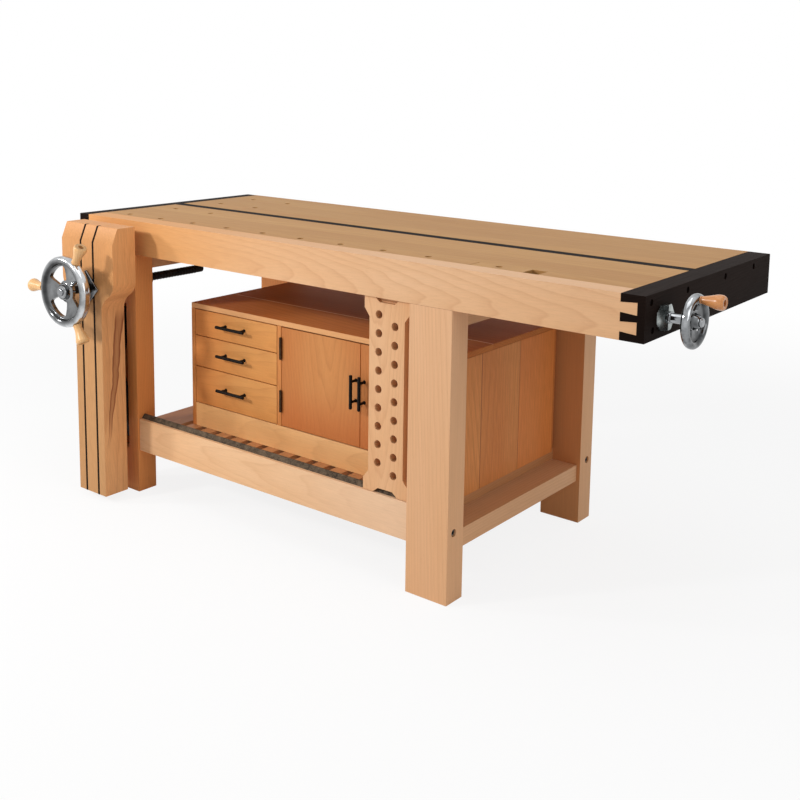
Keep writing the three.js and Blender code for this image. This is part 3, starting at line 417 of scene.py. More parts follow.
# tones: the warm wood, the pale wood and the dark line of a ring
# heart: where the pith runs, in millimetres from the board's middle
# strips and drift: where they start and end, in bench millimetres
woods = {
    "slabBeech": {
        "grain": "x", "tones": ((182, 132, 78), (194, 148, 92), (146, 98, 56)),
        "figure": 0.2, "ringGap": 8, "heart": (0, 60, -260), "shine": 0.12,
        "strips": {"axis": "y", "width": 116, "start": 0, "change": 0.05, "seam": 0.4, "seamDepth": 0.12},
    },
    "apronBeech": {
        "grain": "x", "tones": ((218, 166, 118), (226, 182, 141), (190, 132, 90)),
        "figure": 0.3, "ringGap": 8, "heart": (200, 110, -30), "lean": (0, 1.2, -4), "swirl": 18.0,
        "drift": {"axis": "x", "start": 1150, "end": 180, "share": 0.75, "colour": (214, 148, 80)},
    },
    "legBeech": {
        "grain": "z", "tones": ((218, 166, 120), (226, 178, 136), (190, 134, 92)),
        "figure": 0.24, "ringGap": 5, "heart": (160, 260, 0), "lean": (0, 1, 1), "swirl": 8.0,
    },
    # painted shade: the left legs stand in the chop's shade and are given a darker, browner beech
    "shadeDarkLegBeech": {
        "grain": "z", "tones": ((216, 136, 72), (230, 156, 92), (170, 100, 54)),
        "figure": 0.22, "ringGap": 6, "heart": (160, 260, 0), "lean": (0, 1, 1), "swirl": 8.0,
    },
    "railBeech": {
        "grain": "x", "tones": ((222, 172, 124), (232, 190, 148), (194, 138, 94)),
        "figure": 0.24, "ringGap": 8, "heart": (-200, 140, 20), "lean": (0, 1, 3), "swirl": 18.0,
        "drift": {"axis": "x", "start": 750, "end": 1320, "share": 0.6, "colour": (230, 194, 162)},
    },
    "crossBeech": {
        "grain": "y", "tones": ((210, 158, 112), (220, 172, 130), (178, 122, 80)),
        "figure": 0.28, "ringGap": 7, "heart": (150, 0, -120), "lean": (0, 1, 2),
    },
    # painted shade: the left stretcher stands in deep shade and is given a darker, browner beech
    "shadeDarkCrossBeech": {
        "grain": "y", "tones": ((156, 100, 60), (170, 118, 76), (126, 78, 46)),
        "figure": 0.24, "ringGap": 7, "heart": (-150, 0, -120), "lean": (0, 1, 2),
    },
    "shelfBeech": {
        "grain": "y", "tones": ((186, 128, 82), (200, 146, 100), (148, 94, 56)),
        "figure": 0.3, "ringGap": 7, "heart": (0, 0, -200),
        "strips": {"axis": "x", "width": 66.6, "start": 306, "change": 0.12, "seamDepth": 0.0},
    },
    "pegBoardBeech": {
        "grain": "z", "tones": ((216, 160, 110), (226, 178, 134), (186, 126, 82)),
        "figure": 0.26, "ringGap": 6.5, "heart": (-30, 90, 0), "lean": (0, 2, 4), "swirl": 18.0,
    },
    "chopBeech": {
        "grain": "z", "tones": ((228, 158, 98), (244, 192, 136), (166, 100, 58)),
        "figure": 0.28, "ringGap": 10, "heart": (60, 150, 0), "lean": (0, 3, 5), "swirl": 20.0,
        # painted shade: the chop's front face is painted darker than its sides
        "fibre": 0.16, "front": (196, 144, 93),
        "strips": {"axis": "x", "width": 58, "start": 172, "change": 0.08},
        "drift": {"axis": "z", "start": 560, "end": 720, "share": 0.55, "colour": (228, 158, 96)},
        "streak": {
            "low": at(258, -111, 150), "high": at(258, -56, 606), "width": (0.005, 0.024),
            "colour": (128, 68, 42),
            "profile": [(0.0, 0.45), (0.4, 0.55), (0.62, 0.95), (0.74, 0.6), (0.82, 0.0)],
            "wander": 0.03, "wanderScale": 9.0, "wanderDetail": 2.0, "fade": (0.12, 0.05, 0.02),
        },
    },
    "frontBeech": {
        "slot": "cabinet_beech", "grain": "x", "tones": ((214, 140, 70), (228, 164, 96), (178, 108, 56)),
        "figure": 0.24, "ringGap": 8, "heart": (-60, 80, -20), "lean": (0, 1, 2.5), "swirl": 18.0,
        # painted shade: the drawer fronts turn darker and more orange toward the left, where the chop and leg
        # shade them
        "drift": {"axis": "x", "start": 620, "end": 385, "share": 0.6, "colour": (206, 122, 60)},
    },
    "doorBeech": {
        "slot": "cabinet_beech", "grain": "z", "tones": ((192, 116, 58), (208, 142, 82), (160, 94, 50)),
        "figure": 0.22, "ringGap": 8, "heart": (30, 90, 0), "lean": (0, 2, 5), "swirl": 20.0,
        "drift": {"axis": "z", "start": 440, "end": 300, "share": 0.6, "colour": (194, 106, 50)},
    },
    "plinthBeech": {
        "slot": "cabinet_beech", "grain": "x", "tones": ((236, 178, 114), (244, 192, 134), (200, 138, 86)),
        "figure": 0.22, "ringGap": 8, "heart": (100, 90, 0), "swirl": 14.0, "lean": (0, 1, 3),
    },
    "lidBeech": {
        "slot": "cabinet_beech", "grain": "x", "tones": ((206, 120, 62), (220, 140, 76), (154, 88, 46)),
        "figure": 0.26, "ringGap": 8, "heart": (0, 40, -200), "gloss": (0.55, 0.7), "shine": 0.1,
        # painted highlight: the lid's lit front edge is painted paler than its top
        "front": (228, 170, 116),
        "strips": {
            "axis": "y", "width": 400, "start": -95, "change": 0.1,
            # the joints between the lid's strips are real; their pale line is a painted highlight
            "seam": 2.6, "seamDepth": 0.9, "seamTint": (250, 206, 164),
        },
    },
    "sideBeech": {
        "slot": "cabinet_beech", "grain": "z", "tones": ((212, 126, 62), (224, 148, 82), (164, 94, 46)),
        "figure": 0.24, "ringGap": 8, "heart": (120, 40, 0), "lean": (0, 3, 4), "swirl": 18.0, "fibre": 0.2,
        "strips": {
            "axis": "y", "width": 190, "start": 65, "change": 0.1,
            "seam": 1.8, "seamDepth": 0.65, "seamTint": (118, 60, 28),
        },
        "drift": {"axis": "y", "start": 440, "end": 450, "share": 0.35, "colour": (212, 118, 50)},
    },
    "blackOak": {
        "slot": "dark_wood", "grain": "y", "tones": ((24, 16, 13), (37, 26, 21), (12, 8, 7)),
        "figure": 0.35, "ringGap": 7, "heart": (60, 0, -90), "gloss": (0.5, 0.68), "shine": 0.02,
    },
    "blackStop": {
        "slot": "dark_wood", "grain": "x", "tones": ((18, 14, 13), (28, 22, 20), (9, 7, 6)),
        "figure": 0.3, "heart": (0, 60, -120), "gloss": (0.5, 0.68), "shine": 0.02,
    },
    "blackInlay": {
        "slot": "dark_wood", "grain": "z", "tones": ((18, 15, 14), (28, 23, 21), (9, 8, 7)),
        "figure": 0.3, "heart": (60, 90, 0), "shine": 0.02,
    },
    "knobBeech": {
        "slot": "turned_beech", "grain": "z", "tones": ((218, 164, 104), (230, 184, 128), (182, 122, 70)),
        "figure": 0.3, "ringGap": 6, "heart": (30, 30, 0), "gloss": (0.3, 0.42), "coat": 0.2,
    },
    "crankBeech": {
        "slot": "turned_beech", "grain": "x", "tones": ((200, 124, 66), (214, 146, 88), (156, 88, 46)),
        "figure": 0.3, "ringGap": 6, "heart": (0, 30, 30), "gloss": (0.2, 0.32), "coat": 0.5,
    },
}
# painted shade: the right rear leg's front face, in shade, is painted darker and redder
woods["rearLegBeech"] = {**woods["legBeech"], "front": (207, 142, 90)}
woods["sideKnobBeech"] = {**woods["knobBeech"], "grain": "x", "heart": (0, 30, 30)}

looks = {}


def cutFrom(wood, node):  # the look of one board: its own place in the tree
    low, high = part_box(node)
    name = wood + "." + node
    heart = (low + high) / 2 + Vector(woods[wood]["heart"]) * mm
    looks[name] = woodLook(name, woods[wood], heart)
    return name


print("woods chosen:", len(woods))

# metals and the coated track

metalRule = {  # what a metal has, unless its own entry says otherwise
    "metal": 1.0, "shine": 0.25,
    "fineShare": 0.55, "fineDetail": 5.0,
    "slowShare": 0.45, "slowDetail": 3.0, "slowRate": 6,
    "toneRange": (0.36, 0.62), "roughRange": (0.35, 0.65),
    "bump": 0.12, "bumpDepth": 0.0004,
}

metals = {
    "castSteel": {
        "slot": "steel", "tones": ((112, 113, 115), (158, 160, 163)), "rough": (0.12, 0.24), "grain": 34,
    },
    "paintedLightSteel": {  # painted reflections and shade: bright rings on the rim, dark in the corner of the dish
        "slot": "steel", "tones": ((146, 148, 150), (216, 218, 220)), "rough": (0.1, 0.24), "grain": 38,
        "centre": at(viseX, -205, viseZ), "across": (1, 0, 1), "reach": 0.106,
        "paintedLightRings": [
            (0.0, 0.7), (0.13, 0.62), (0.2, 0.42), (0.3, 0.34), (0.6, 0.4), (0.74, 0.3), (0.79, 0.1),
            (0.83, 0.14), (0.87, 0.42), (0.92, 0.7), (0.96, 1.0),
        ],
    },
    # painted reflections and shade: light and dark rings round the tail wheel's axle
    "paintedLightChrome": {
        "slot": "chrome", "tones": ((92, 94, 96), (206, 209, 212)), "rough": (0.05, 0.14), "grain": 44,
        "centre": at(2024, tailY, tailZ), "across": (0, 1, 1), "reach": 0.061,
        "paintedLightRings": [
            (0.0, 0.75), (0.2, 0.55), (0.3, 0.28), (0.55, 0.3), (0.68, 0.1), (0.76, 0.3), (0.86, 0.5),
            (0.97, 0.8),
        ],
    },
    "chromePlate": {
        "slot": "chrome", "tones": ((116, 118, 120), (168, 171, 174)), "rough": (0.04, 0.12), "grain": 30,
    },
    "plainSteel": {
        "slot": "chrome", "tones": ((118, 124, 124), (184, 190, 188)), "rough": (0.16, 0.28), "grain": 60,
    },
    "blackedSteel": {
        "slot": "black_steel", "tones": ((13, 11, 10), (27, 23, 21)), "rough": (0.42, 0.58), "grain": 160,
        "metal": 0.0, "shine": 0.1,
    },
    "agedBronze": {
        "slot": "bronze", "tones": ((44, 32, 24), (84, 64, 46)), "rough": (0.35, 0.55), "grain": 120,
        "metal": 0.85,
    },
    "boltSteel": {
        "slot": "steel", "tones": ((52, 50, 48), (108, 106, 102)), "rough": (0.3, 0.5), "grain": 140,
    },
    "trackCoat": {
        "slot": "black_steel", "tones": ((44, 36, 28), (108, 90, 70)), "rough": (0.7, 0.9), "grain": 420,
        "metal": 0.0,
    },
}


def metalLook(name, spec):
    spec = {**metalRule, **spec}
    dull, bright = (paint(*tone) for tone in spec["tones"])
    look, tree, shader = startLook(name)
    place = addNode(tree, "TexCoord").outputs["Object"]
    fine = noise(tree, place, spec["grain"], spec["fineDetail"])
    slow = noise(tree, place, spec["grain"] / spec["slowRate"], spec["slowDetail"])
    both = calc(
        tree,
        "ADD",
        calc(tree, "MULTIPLY", fine, spec["fineShare"]),
        calc(tree, "MULTIPLY", slow, spec["slowShare"]),
    )
    colour = ramp(tree, both, zip(spec["toneRange"], (dull, bright)))
    if "paintedLightRings" in spec:  # painted reflections and shade, in rings round the wheel's axle
        offset = vectorCalc(tree, "SUBTRACT", place, spec["centre"])
        offset = vectorCalc(tree, "MULTIPLY", offset, spec["across"])
        share = calc(tree, "DIVIDE", lengthOf(tree, offset), spec["reach"])
        colour = mixColour(tree, "MULTIPLY", 1.0, colour, levels(tree, share, *spec["paintedLightRings"]))
    rough = mapRange(tree, both, spec["roughRange"], spec["rough"][::-1])
    finishLook(tree, shader, spec, colour, rough, fine)
    shader.inputs["Metallic"].default_value = spec["metal"]
    return look


for name, spec in metals.items():
    looks[name] = metalLook(name, spec)
print("metals mixed:", len(metals))

# hand tools for the pieces

handTools = {
    "weld": 0.00002,  # metres, for a board
    "turnWeld": 0.000002,  # for a turned profile
    "flat": 0.5,
    "flatWeight": 100,
    "turnedAngle": 40,
    "fittingAngle": 35,
}


def clearSelection():
    if bpy.context.mode != "OBJECT":
        bpy.ops.object.mode_set(mode="OBJECT")
    bpy.ops.object.select_all(action="DESELECT")


def pick(piece):
    clearSelection()
    bpy.context.view_layer.objects.active = piece
    piece.select_set(True)


def openEdit(piece):
    pick(piece)
    bpy.ops.object.mode_set(mode="EDIT")
    bpy.ops.mesh.select_mode(type="VERT")
    bpy.ops.mesh.select_all(action="SELECT")


def closeEdit():
    bpy.ops.object.mode_set(mode="OBJECT")


def faceOutward():
    bpy.ops.mesh.select_all(action="SELECT")
    bpy.ops.mesh.normals_make_consistent(inside=False)


def weldAll():
    bpy.ops.mesh.select_all(action="SELECT")
    bpy.ops.mesh.remove_doubles(threshold=handTools["turnWeld"])
    bpy.ops.mesh.select_all(action="SELECT")


def settle(piece):  # its own place, turn and scale go into its mesh
    pick(piece)
    bpy.ops.object.transform_apply(location=True, rotation=True, scale=True)


def applyAll(piece):
    pick(piece)
    for modifier in list(piece.modifiers):
        bpy.ops.object.modifier_apply(modifier=modifier.name)


def soften(piece, width, segments=2, limit=35):
    bevel = piece.modifiers.new("softEdges", "BEVEL")
    bevel.width = width * mm
    bevel.segments = segments
    bevel.limit_method = "ANGLE"
    bevel.angle_limit = math.radians(limit)
    bevel.use_clamp_overlap = True
    applyAll(piece)


def smooth(piece, angle=32):
    pick(piece)
    bpy.ops.object.shade_smooth_by_angle(angle=math.radians(angle))
    flats = piece.modifiers.new("flatFaces", "WEIGHTED_NORMAL")  # broad faces stay flat beside eased edges
    flats.weight = handTools["flatWeight"]
    flats.keep_sharp = True
    applyAll(piece)


def easeTurned(piece, edge):
    soften(piece, edge, limit=handTools["turnedAngle"])
    smooth(piece, handTools["turnedAngle"])


def finishPiece(piece, look, body, *replaced):
    settle(piece)
    piece.data.materials.clear()
    piece.data.materials.append(looks[look])
    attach(piece, body)
    if replaced:
        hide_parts(*replaced)
    return piece


# a face with four given corners, left open for editing
def drawFace(corners, place):
    clearSelection()
    bpy.ops.mesh.primitive_plane_add(size=1, location=place)
    piece = bpy.context.object
    openEdit(piece)
    mesh = bmesh.from_edit_mesh(piece.data)
    for vert, corner in zip(mesh.faces[:][0].verts, corners):
        vert.co = corner
    bmesh.update_edit_mesh(piece.data)
    return piece


def makeRod(sides, radius, length, place, turn=0):  # it lies along the bench
    clearSelection()
    bpy.ops.mesh.primitive_cylinder_add(
        vertices=sides, radius=radius * mm, depth=length * mm, rotation=(turn, math.pi / 2, 0), location=place
    )
    return bpy.context.object


def carve(piece, *tools, way="DIFFERENCE"):
    for tool in tools:
        cutter = piece.modifiers.new("cut", "BOOLEAN")
        cutter.operation = way
        cutter.solver = "EXACT"
        cutter.object = tool
        applyAll(piece)
        bpy.data.objects.remove(tool)
    return piece


# a copy of a board to work on: its own mesh, welded, with its flat faces joined
def workedCopy(node):
    piece = bpy.data.objects.new(node + "_worked", nodes[node].data.copy())
    bpy.context.scene.collection.objects.link(piece)
    openEdit(piece)
    bpy.ops.mesh.customdata_custom_splitnormals_clear()
    bpy.ops.mesh.remove_doubles(threshold=handTools["weld"])
    bpy.ops.mesh.dissolve_limited(angle_limit=math.radians(handTools["flat"]))
    closeEdit()
    return piece


# a turned piece: one vertex drawn along the profile, then spun round the axis
def turnProfile(name, profile, centre, axis, out, steps):
    axis, out = Vector(axis), Vector(out)
    points = [centre + out * (r * mm) + axis * (t * mm) for r, t in profile]
    clearSelection()
    bpy.ops.mesh.primitive_plane_add(size=mm, location=points[0])
    piece = bpy.context.object
    piece.name = name
    openEdit(piece)
    bpy.ops.mesh.merge(type="CENTER")
    for here, there in zip(points, points[1:]):
        bpy.ops.mesh.extrude_region_move(TRANSFORM_OT_translate={"value": there - here})
    weldAll()
    bpy.ops.mesh.spin(steps=steps, angle=2 * math.pi, center=centre, axis=axis)
    weldAll()
    faceOutward()
    closeEdit()
    return piece


# a place between the middle two of four, on a curve through them
def between(u, p, q, r, s):
    bend = (2 * p - 5 * q + 4 * r - s) * u ** 2
    twist = (3 * q - p - 3 * r + s) * u ** 3
    return 0.5 * (2 * q + (r - p) * u + bend + twist)


# a smooth line through a few drawn points
def faired(points, steps):
    line = [points[0]]
    padded = [points[0], *points, points[-1]]
    for i in range(len(points) - 1):
        a, b, c, d = padded[i:i + 4]
        for k in range(1, steps + 1):
            line.append(tuple(between(k / steps, *four) for four in zip(a, b, c, d)))
    return line


# boards and flat fittings: every node, the look that it shows and its eased edge in millimetres

boards = {
    "front_laminate": ("apronBeech", 1.2),
    "front_slab": ("slabBeech", 0.8),
    "rear_slab": ("slabBeech", 0.8),
    "gap_stop": ("blackStop", 0.8),
    "left_end_cap": ("blackOak", 1.5),
    "right_end_cap": ("blackOak", 1.5),
    "left_front_leg": ("shadeDarkLegBeech", 2.0),
    "left_rear_leg": ("shadeDarkLegBeech", 2.0),
    "right_front_leg": ("legBeech", 2.0),
    "right_rear_leg": ("rearLegBeech", 2.0),
    "front_rail": ("railBeech", 1.6),
    "rear_rail": ("railBeech", 1.6),
    "left_stretcher": ("shadeDarkCrossBeech", 1.5),
    "right_stretcher": ("crossBeech", 1.5),
    "left_bearer": ("crossBeech", 1.5),
    "right_bearer": ("crossBeech", 1.5),
    "slatted_shelf": ("shelfBeech", 1.2),
    "deadman_track": ("trackCoat", 0.8),
    "deadman": ("pegBoardBeech", 1.2),
    "cabinet_left_side": ("sideBeech", 0.8),
    "cabinet_right_side": ("sideBeech", 0.8),
    "cabinet_divider": ("sideBeech", 0.6),
    "cabinet_lid": ("lidBeech", 1.0),
    "cabinet_base": ("plinthBeech", 0.8),
    "cabinet_back": ("doorBeech", 0.6),
    "lower_drawer": ("frontBeech", 0.8),
    "middle_drawer": ("frontBeech", 0.8),
    "upper_drawer": ("frontBeech", 0.8),
    "left_door": ("doorBeech", 0.8),
    "right_door": ("doorBeech", 0.8),
    "vise_chop": ("chopBeech", 1.6),
    "chop_left_inlay": ("blackInlay", 0.4),
    "chop_right_inlay": ("blackInlay", 0.4),
    "dog_block": ("slabBeech", 0.8),
    "leg_arm": ("blackedSteel", 1.0),
    "chop_arm": ("blackedSteel", 1.0),
    "leg_arm_pin": ("boltSteel", 0.6),
    "chop_arm_pin": ("boltSteel", 0.6),
    "vise_nut": ("blackedSteel", 1.0),
}

capRecess = {  # round sinkings for the bolts of the right end cap
    "radius": 7.8,
    "depth": 7.3,
    "sides": 40,
    "spots": {
        "first": (30, 842), "second": (218, 842), "third": (439, 842), "fourth": (624, 842),
        "low": (41, 779),
    },
}


def sinkRecesses(piece):
    for y, z in capRecess["spots"].values():
        place = at(benchLength, y, z)
        carve(piece, makeRod(capRecess["sides"], capRecess["radius"], 2 * capRecess["depth"], place))


def makeBoards():
    for node, (look, edge) in boards.items():
        piece = workedCopy(node)
        if node == "right_end_cap":
            sinkRecesses(piece)
        soften(piece, edge)
        smooth(piece)
        finishPiece(piece, cutFrom(look, node) if look in woods else look, bodyOf[node], node)


makeBoards()
print("boards worked:", len(boards))

# handwheels: spun section with a dished web, three openings cut through it

handwheel = {
    "name": "handwheel", "node": "vise_handwheel",
    "centre": (viseX, -205, viseZ),
    "axis": (0, -1, 0), "out": (1, 0, 0),
    "bore": 9.3, "hub": 22, "hubHalf": 15, "boss": 30,
    "webFront": (-4, 6), "webBack": (-12, -6),
    "rim": (82, 106), "rimHalf": 16,
    "opening": (33, 77), "openingAngles": (0, 120, 240), "sweep": 66, "corner": 11,
    "look": "paintedLightSteel",
}

tailwheel = {
    "name": "tailwheel", "node": "tail_wheel",
    "centre": (2024, tailY, tailZ),
    "axis": (1, 0, 0), "out": (0, 1, 0),
    "bore": 7.3, "hub": 15, "hubHalf": 13, "boss": 19,
    "webFront": (0, 2.4), "webBack": (-6, -2.4),
    "rim": (42, 61), "rimHalf": 10,
    "opening": (22.5, 38), "openingAngles": (-30, 90, 210), "sweep": 62, "corner": 4,
    "look": "paintedLightChrome",
}

wheelTurning = {
    "steps": 72,
    "rimEnd": 165, "rimStep": 15,
    "webSteps": 5, "webCurve": 1.7, "webGap": 1,
    "hubEase": 3, "hubFoot": (2, 3), "hubBack": 1,
    "openingSteps": 16, "cornerSteps": 5,
    "cornerAlong": 0.99,  # a corner's edge runs with the axle
    "cornerAngle": 1.0,
    "edge": 1.0, "smooth": 38,
}


def rimSection(w):  # front side first, from the web out and round to the back
    inner, outer = w["rim"]
    middle = (inner + outer) / 2
    half = (outer - inner) / 2
    straight = w["rimHalf"] - half
    section = []
    end, step = wheelTurning["rimEnd"], wheelTurning["rimStep"]
    for side, angles in ((1, range(end, -1, -step)), (-1, range(0, -end - 1, -step))):
        for a in map(math.radians, angles):
            section.append((middle + half * math.cos(a), side * straight + half * math.sin(a)))
    return section


def webSection(w, face):  # a bowl that is deepest at the boss
    start, end = w["boss"], w["rim"][0] - wheelTurning["webGap"]
    steps = wheelTurning["webSteps"]
    line = []
    for k in range(steps + 1):
        share = k / steps
        rise = (face[1] - face[0]) * share ** wheelTurning["webCurve"]
        line.append((start + (end - start) * share, face[0] + rise))
    return line


# a ring sector with round corners, deeper than the hub
def webOpening(w, centre, axis, out, middle):
    start = Matrix.Rotation(math.radians(middle + w["sweep"] / 2), 3, axis) @ out  # spin turns clockwise
    deep = axis * (2 * w["hubHalf"] * mm)
    inner, outer = (start * (r * mm) for r in w["opening"])
    corners = [inner - deep, outer - deep, outer + deep, inner + deep]
    plug = drawFace([centre + corner for corner in corners], (0, 0, 0))
    steps = wheelTurning["openingSteps"]
    bpy.ops.mesh.spin(steps=steps, angle=math.radians(w["sweep"]), center=centre, axis=axis)
    faceOutward()
    bpy.ops.mesh.select_all(action="DESELECT")
    bpy.ops.mesh.select_mode(type="EDGE")
    mesh = bmesh.from_edit_mesh(plug.data)
    for edge in mesh.edges:
        along = (edge.verts[0].co - edge.verts[1].co).normalized()
        upright = abs(along.dot(axis)) > wheelTurning["cornerAlong"]
        if upright and edge.calc_face_angle(0) > wheelTurning["cornerAngle"]:
            edge.select_set(True)
    bmesh.update_edit_mesh(plug.data)
    bpy.ops.mesh.bevel(offset=w["corner"] * mm, segments=wheelTurning["cornerSteps"], affect="EDGES")
    closeEdit()
    return plug


def makeWheel(w):
    front, back = webSection(w, w["webFront"]), webSection(w, w["webBack"])
    half = w["hubHalf"]
    ease, foot, behind = wheelTurning["hubEase"], wheelTurning["hubFoot"], wheelTurning["hubBack"]
    section = [
        (w["bore"], -half),
        (w["bore"], half),
        (w["hub"] - ease, half),
        (w["hub"], half - ease),
        (w["hub"] + foot[0], front[0][1] + foot[1]),
        *front,
        *rimSection(w),
        *reversed(back),
        (w["hub"] + behind, behind - half),
        (w["hub"], -half),
        (w["bore"], -half),
    ]
    centre = at(*w["centre"])
    axis, out = Vector(w["axis"]), Vector(w["out"])
    wheel = turnProfile(w["name"], section, centre, axis, out, wheelTurning["steps"])
    carve(wheel, *[webOpening(w, centre, axis, out, a) for a in w["openingAngles"]])
    soften(wheel, wheelTurning["edge"], limit=handTools["turnedAngle"])
    smooth(wheel, wheelTurning["smooth"])
    finishPiece(wheel, w["look"], bodyOf[w["node"]], w["node"])


makeWheel(handwheel)
makeWheel(tailwheel)
print("handwheels turned")

# knobs on the rim and the crank grip

knobs = {
    "upper_knob": {"angle": 60, "look": "knobBeech"},
    "left_knob": {"angle": 180, "look": "sideKnobBeech"},
    "lower_knob": {"angle": 300, "look": "knobBeech"},
}
knobLine = {
    "root": 106.3,
    "groove": [(0, 0), (13, 0), (13, 1.2), (11.6, 1.5)],
    "body": [
        (12.6, 1.6), (12.2, 5), (11.8, 12), (13.2, 24), (16.6, 37), (19.4, 47), (19.8, 51), (18.6, 55.5),
        (16.6, 57.6),
    ],
    "end": [(14, 58), (8, 58), (8, 34), (0, 34)],
    "fairing": 4, "steps": 40, "edge": 0.5,
}
crank = {
    "centre": (2034.3, tailY, 851),
    "groove": [(0, 0), (8.4, 0), (8.4, 3), (7.2, 3.4), (7.2, 4.6)],
    "body": [(8.6, 5), (9, 8), (10.2, 14), (12.8, 24), (15.8, 35), (16.9, 42.5), (16.5, 49), (15, 52.6)],
    "end": [(13.6, 54.8), (12.4, 55), (11.6, 54), (7.4, 54), (7.4, 36), (0, 36)],
    "fairing": 4, "steps": 48, "edge": 0.4,
}


def turnGrip(name, grip, centre, axis):
    profile = [*grip["groove"], *faired(grip["body"], grip["fairing"]), *grip["end"]]
    piece = turnProfile(name, profile, centre, axis, (0, 1, 0), grip["steps"])
    easeTurned(piece, grip["edge"])
    return piece


def makeKnobs():
    centre = at(*handwheel["centre"])
    for node, knob in knobs.items():
        a = math.radians(knob["angle"])
        axis = Vector((math.cos(a), 0, math.sin(a)))
        piece = turnGrip(node + "_turned", knobLine, centre + axis * (knobLine["root"] * mm), axis)
        finishPiece(piece, cutFrom(knob["look"], node), bodyOf[node], node)
    piece = turnGrip("crank_grip_turned", crank, at(*crank["centre"]), (1, 0, 0))
    finishPiece(piece, cutFrom("crankBeech", "crank_grip"), bodyOf["crank_grip"], "crank_grip")


makeKnobs()
print("knobs and grip turned")

# screws with a real thread

viseScrew = {
    "name": "viseScrewThreaded", "node": "vise_screw",
    "origin": (viseX, 0, viseZ),
    "axis": (0, 1, 0), "out": (1, 0, 0),
    "profile": [
        (0, -220), (9, -220), (9, -189.7), (12, -189.7), (12, -142), (19, -142), (20, -141), (20, -135.6),
        (19, -134.6), (12.1, -134.6), (12.1, 326), (8, 330), (0, 330),
    ],
    "thread": (-24, 322), "threadRoot": 11.9, "threadTop": 12.9, "pitch": 12,
    "look": "blackedSteel",
}
tailScrew = {
    "name": "tailScrewThreaded", "node": "tail_screw",
    "origin": (0, tailY, tailZ),
    "axis": (1, 0, 0), "out": (0, 1, 0),
    "profile": [
        (0, 1585), (6.5, 1585), (8.4, 1588), (8.4, 1946), (10.8, 1948), (10.8, 1965.6), (13, 1965.6),
        (14, 1966.6), (14, 1970.6), (13, 1971.6), (10.8, 1971.6), (10.8, 2010.7), (7, 2010.7), (7, 2037.3),
        (11, 2037.3), (11, 2040.6), (9, 2043.3), (0, 2043.3),
    ],
    "thread": (1588, 1944), "threadRoot": 7.9, "threadTop": 10.8, "pitch": 5,
    "look": "chromePlate",
}
threading = {"steps": 40, "edge": 0.5, "ridge": (0.12, 0.78, 0.6, 0.3), "ridgeSteps": 28}


def makeScrew(s):
    origin, axis, out = at(*s["origin"]), Vector(s["axis"]), Vector(s["out"])
    core = turnProfile(s["name"], s["profile"], origin, axis, out, threading["steps"])
    easeTurned(core, threading["edge"])
    start, end = s["thread"]
    radii = (s["threadRoot"], s["threadRoot"], s["threadTop"], s["threadTop"])
    shares = zip(radii, threading["ridge"])
    corners = [out * (r * mm) + axis * (share * s["pitch"] * mm) for r, share in shares]
    ridge = drawFace(corners, origin + axis * (start * mm))
    bpy.ops.mesh.delete(type="ONLY_FACE")
    closeEdit()
    turns = ridge.modifiers.new("thread", "SCREW")
    turns.axis = "X" if axis.x else "Y"
    turns.angle = 2 * math.pi
    turns.screw_offset = s["pitch"] * mm
    turns.iterations = int((end - start) / s["pitch"]) - 1
    turns.steps = threading["ridgeSteps"]
    turns.render_steps = threading["ridgeSteps"]
    turns.use_merge_vertices = True
    applyAll(ridge)
    openEdit(ridge)
    bpy.ops.mesh.fill_holes(sides=0)
    faceOutward()
    closeEdit()
    settle(ridge)
    smooth(ridge, handTools["turnedAngle"])
    ridge.select_set(True)
    core.select_set(True)
    bpy.context.view_layer.objects.active = core
    bpy.ops.object.join()
    finishPiece(core, s["look"], bodyOf[s["node"]], s["node"])


capNut = {
    "centre": (viseX, -220.3, viseZ),
    "line": [(0, 0), (11, 0), (11, 1.8), (10.2, 3.2), (7.6, 4.5), (4, 5), (0, 5)],
    "steps": 36,
    "smooth": 45,
}


def makeCapNut():  # a low domed nut that holds the wheel on the screw
    centre = at(*capNut["centre"])
    piece = turnProfile("wheelCapNut", capNut["line"], centre, (0, -1, 0), (1, 0, 0), capNut["steps"])
    smooth(piece, capNut["smooth"])
    finishPiece(piece, "castSteel", "vise_screw")


makeScrew(viseScrew)
makeScrew(tailScrew)
makeCapNut()
print("screws threaded")

# the hexagon boss on the right end cap

hexBoss = {
    "start": 1950.3, "radius": 33, "length": 15,
    "bore": 11.4, "boreEase": 1,
    "spare": 1,  # the turned blank beyond the hexagon's corners
    "faceRadius": 28.4, "chamfer": 2.6,
    "edge": 0.5, "edgeLimit": 30, "smooth": 25, "steps": 72,
}


def makeHexBoss():
    centre = at(hexBoss["start"], tailY, tailZ)
    length, bore, ease = hexBoss["length"], hexBoss["bore"], hexBoss["boreEase"]
    prism = makeRod(6, hexBoss["radius"], 2 * length, centre, math.pi / 6)
    outer = hexBoss["radius"] + hexBoss["spare"]
    line = [
        (bore, 0), (outer, 0), (outer, length - hexBoss["chamfer"]), (hexBoss["faceRadius"], length),
        (bore + ease, length), (bore, length - ease), (bore, 0),
    ]
    boss = turnProfile("tailHexBoss", line, centre, (1, 0, 0), (0, 1, 0), hexBoss["steps"])
    carve(boss, prism, way="INTERSECT")
    soften(boss, hexBoss["edge"], limit=hexBoss["edgeLimit"])
    smooth(boss, hexBoss["smooth"])
    finishPiece(boss, "plainSteel", "bench", "tail_flange")


makeHexBoss()
print("hexagon boss made")

# drawer and door pulls: a bar on two posts

pulls = {
    "bar": 4.7, "barEnd": 1.2, "barSteps": 28,
    "post": 3.8, "postInset": 19, "postSteps": 24,
    "foot": 5.2, "footRise": (1.6, 3.4),
    "drawerLength": 118, "doorLength": 96,
    "nodes": {
        "lower_drawer_pull": "x", "middle_drawer_pull": "x", "upper_drawer_pull": "x",
        "left_door_pull": "z", "right_door_pull": "z",
    },
}


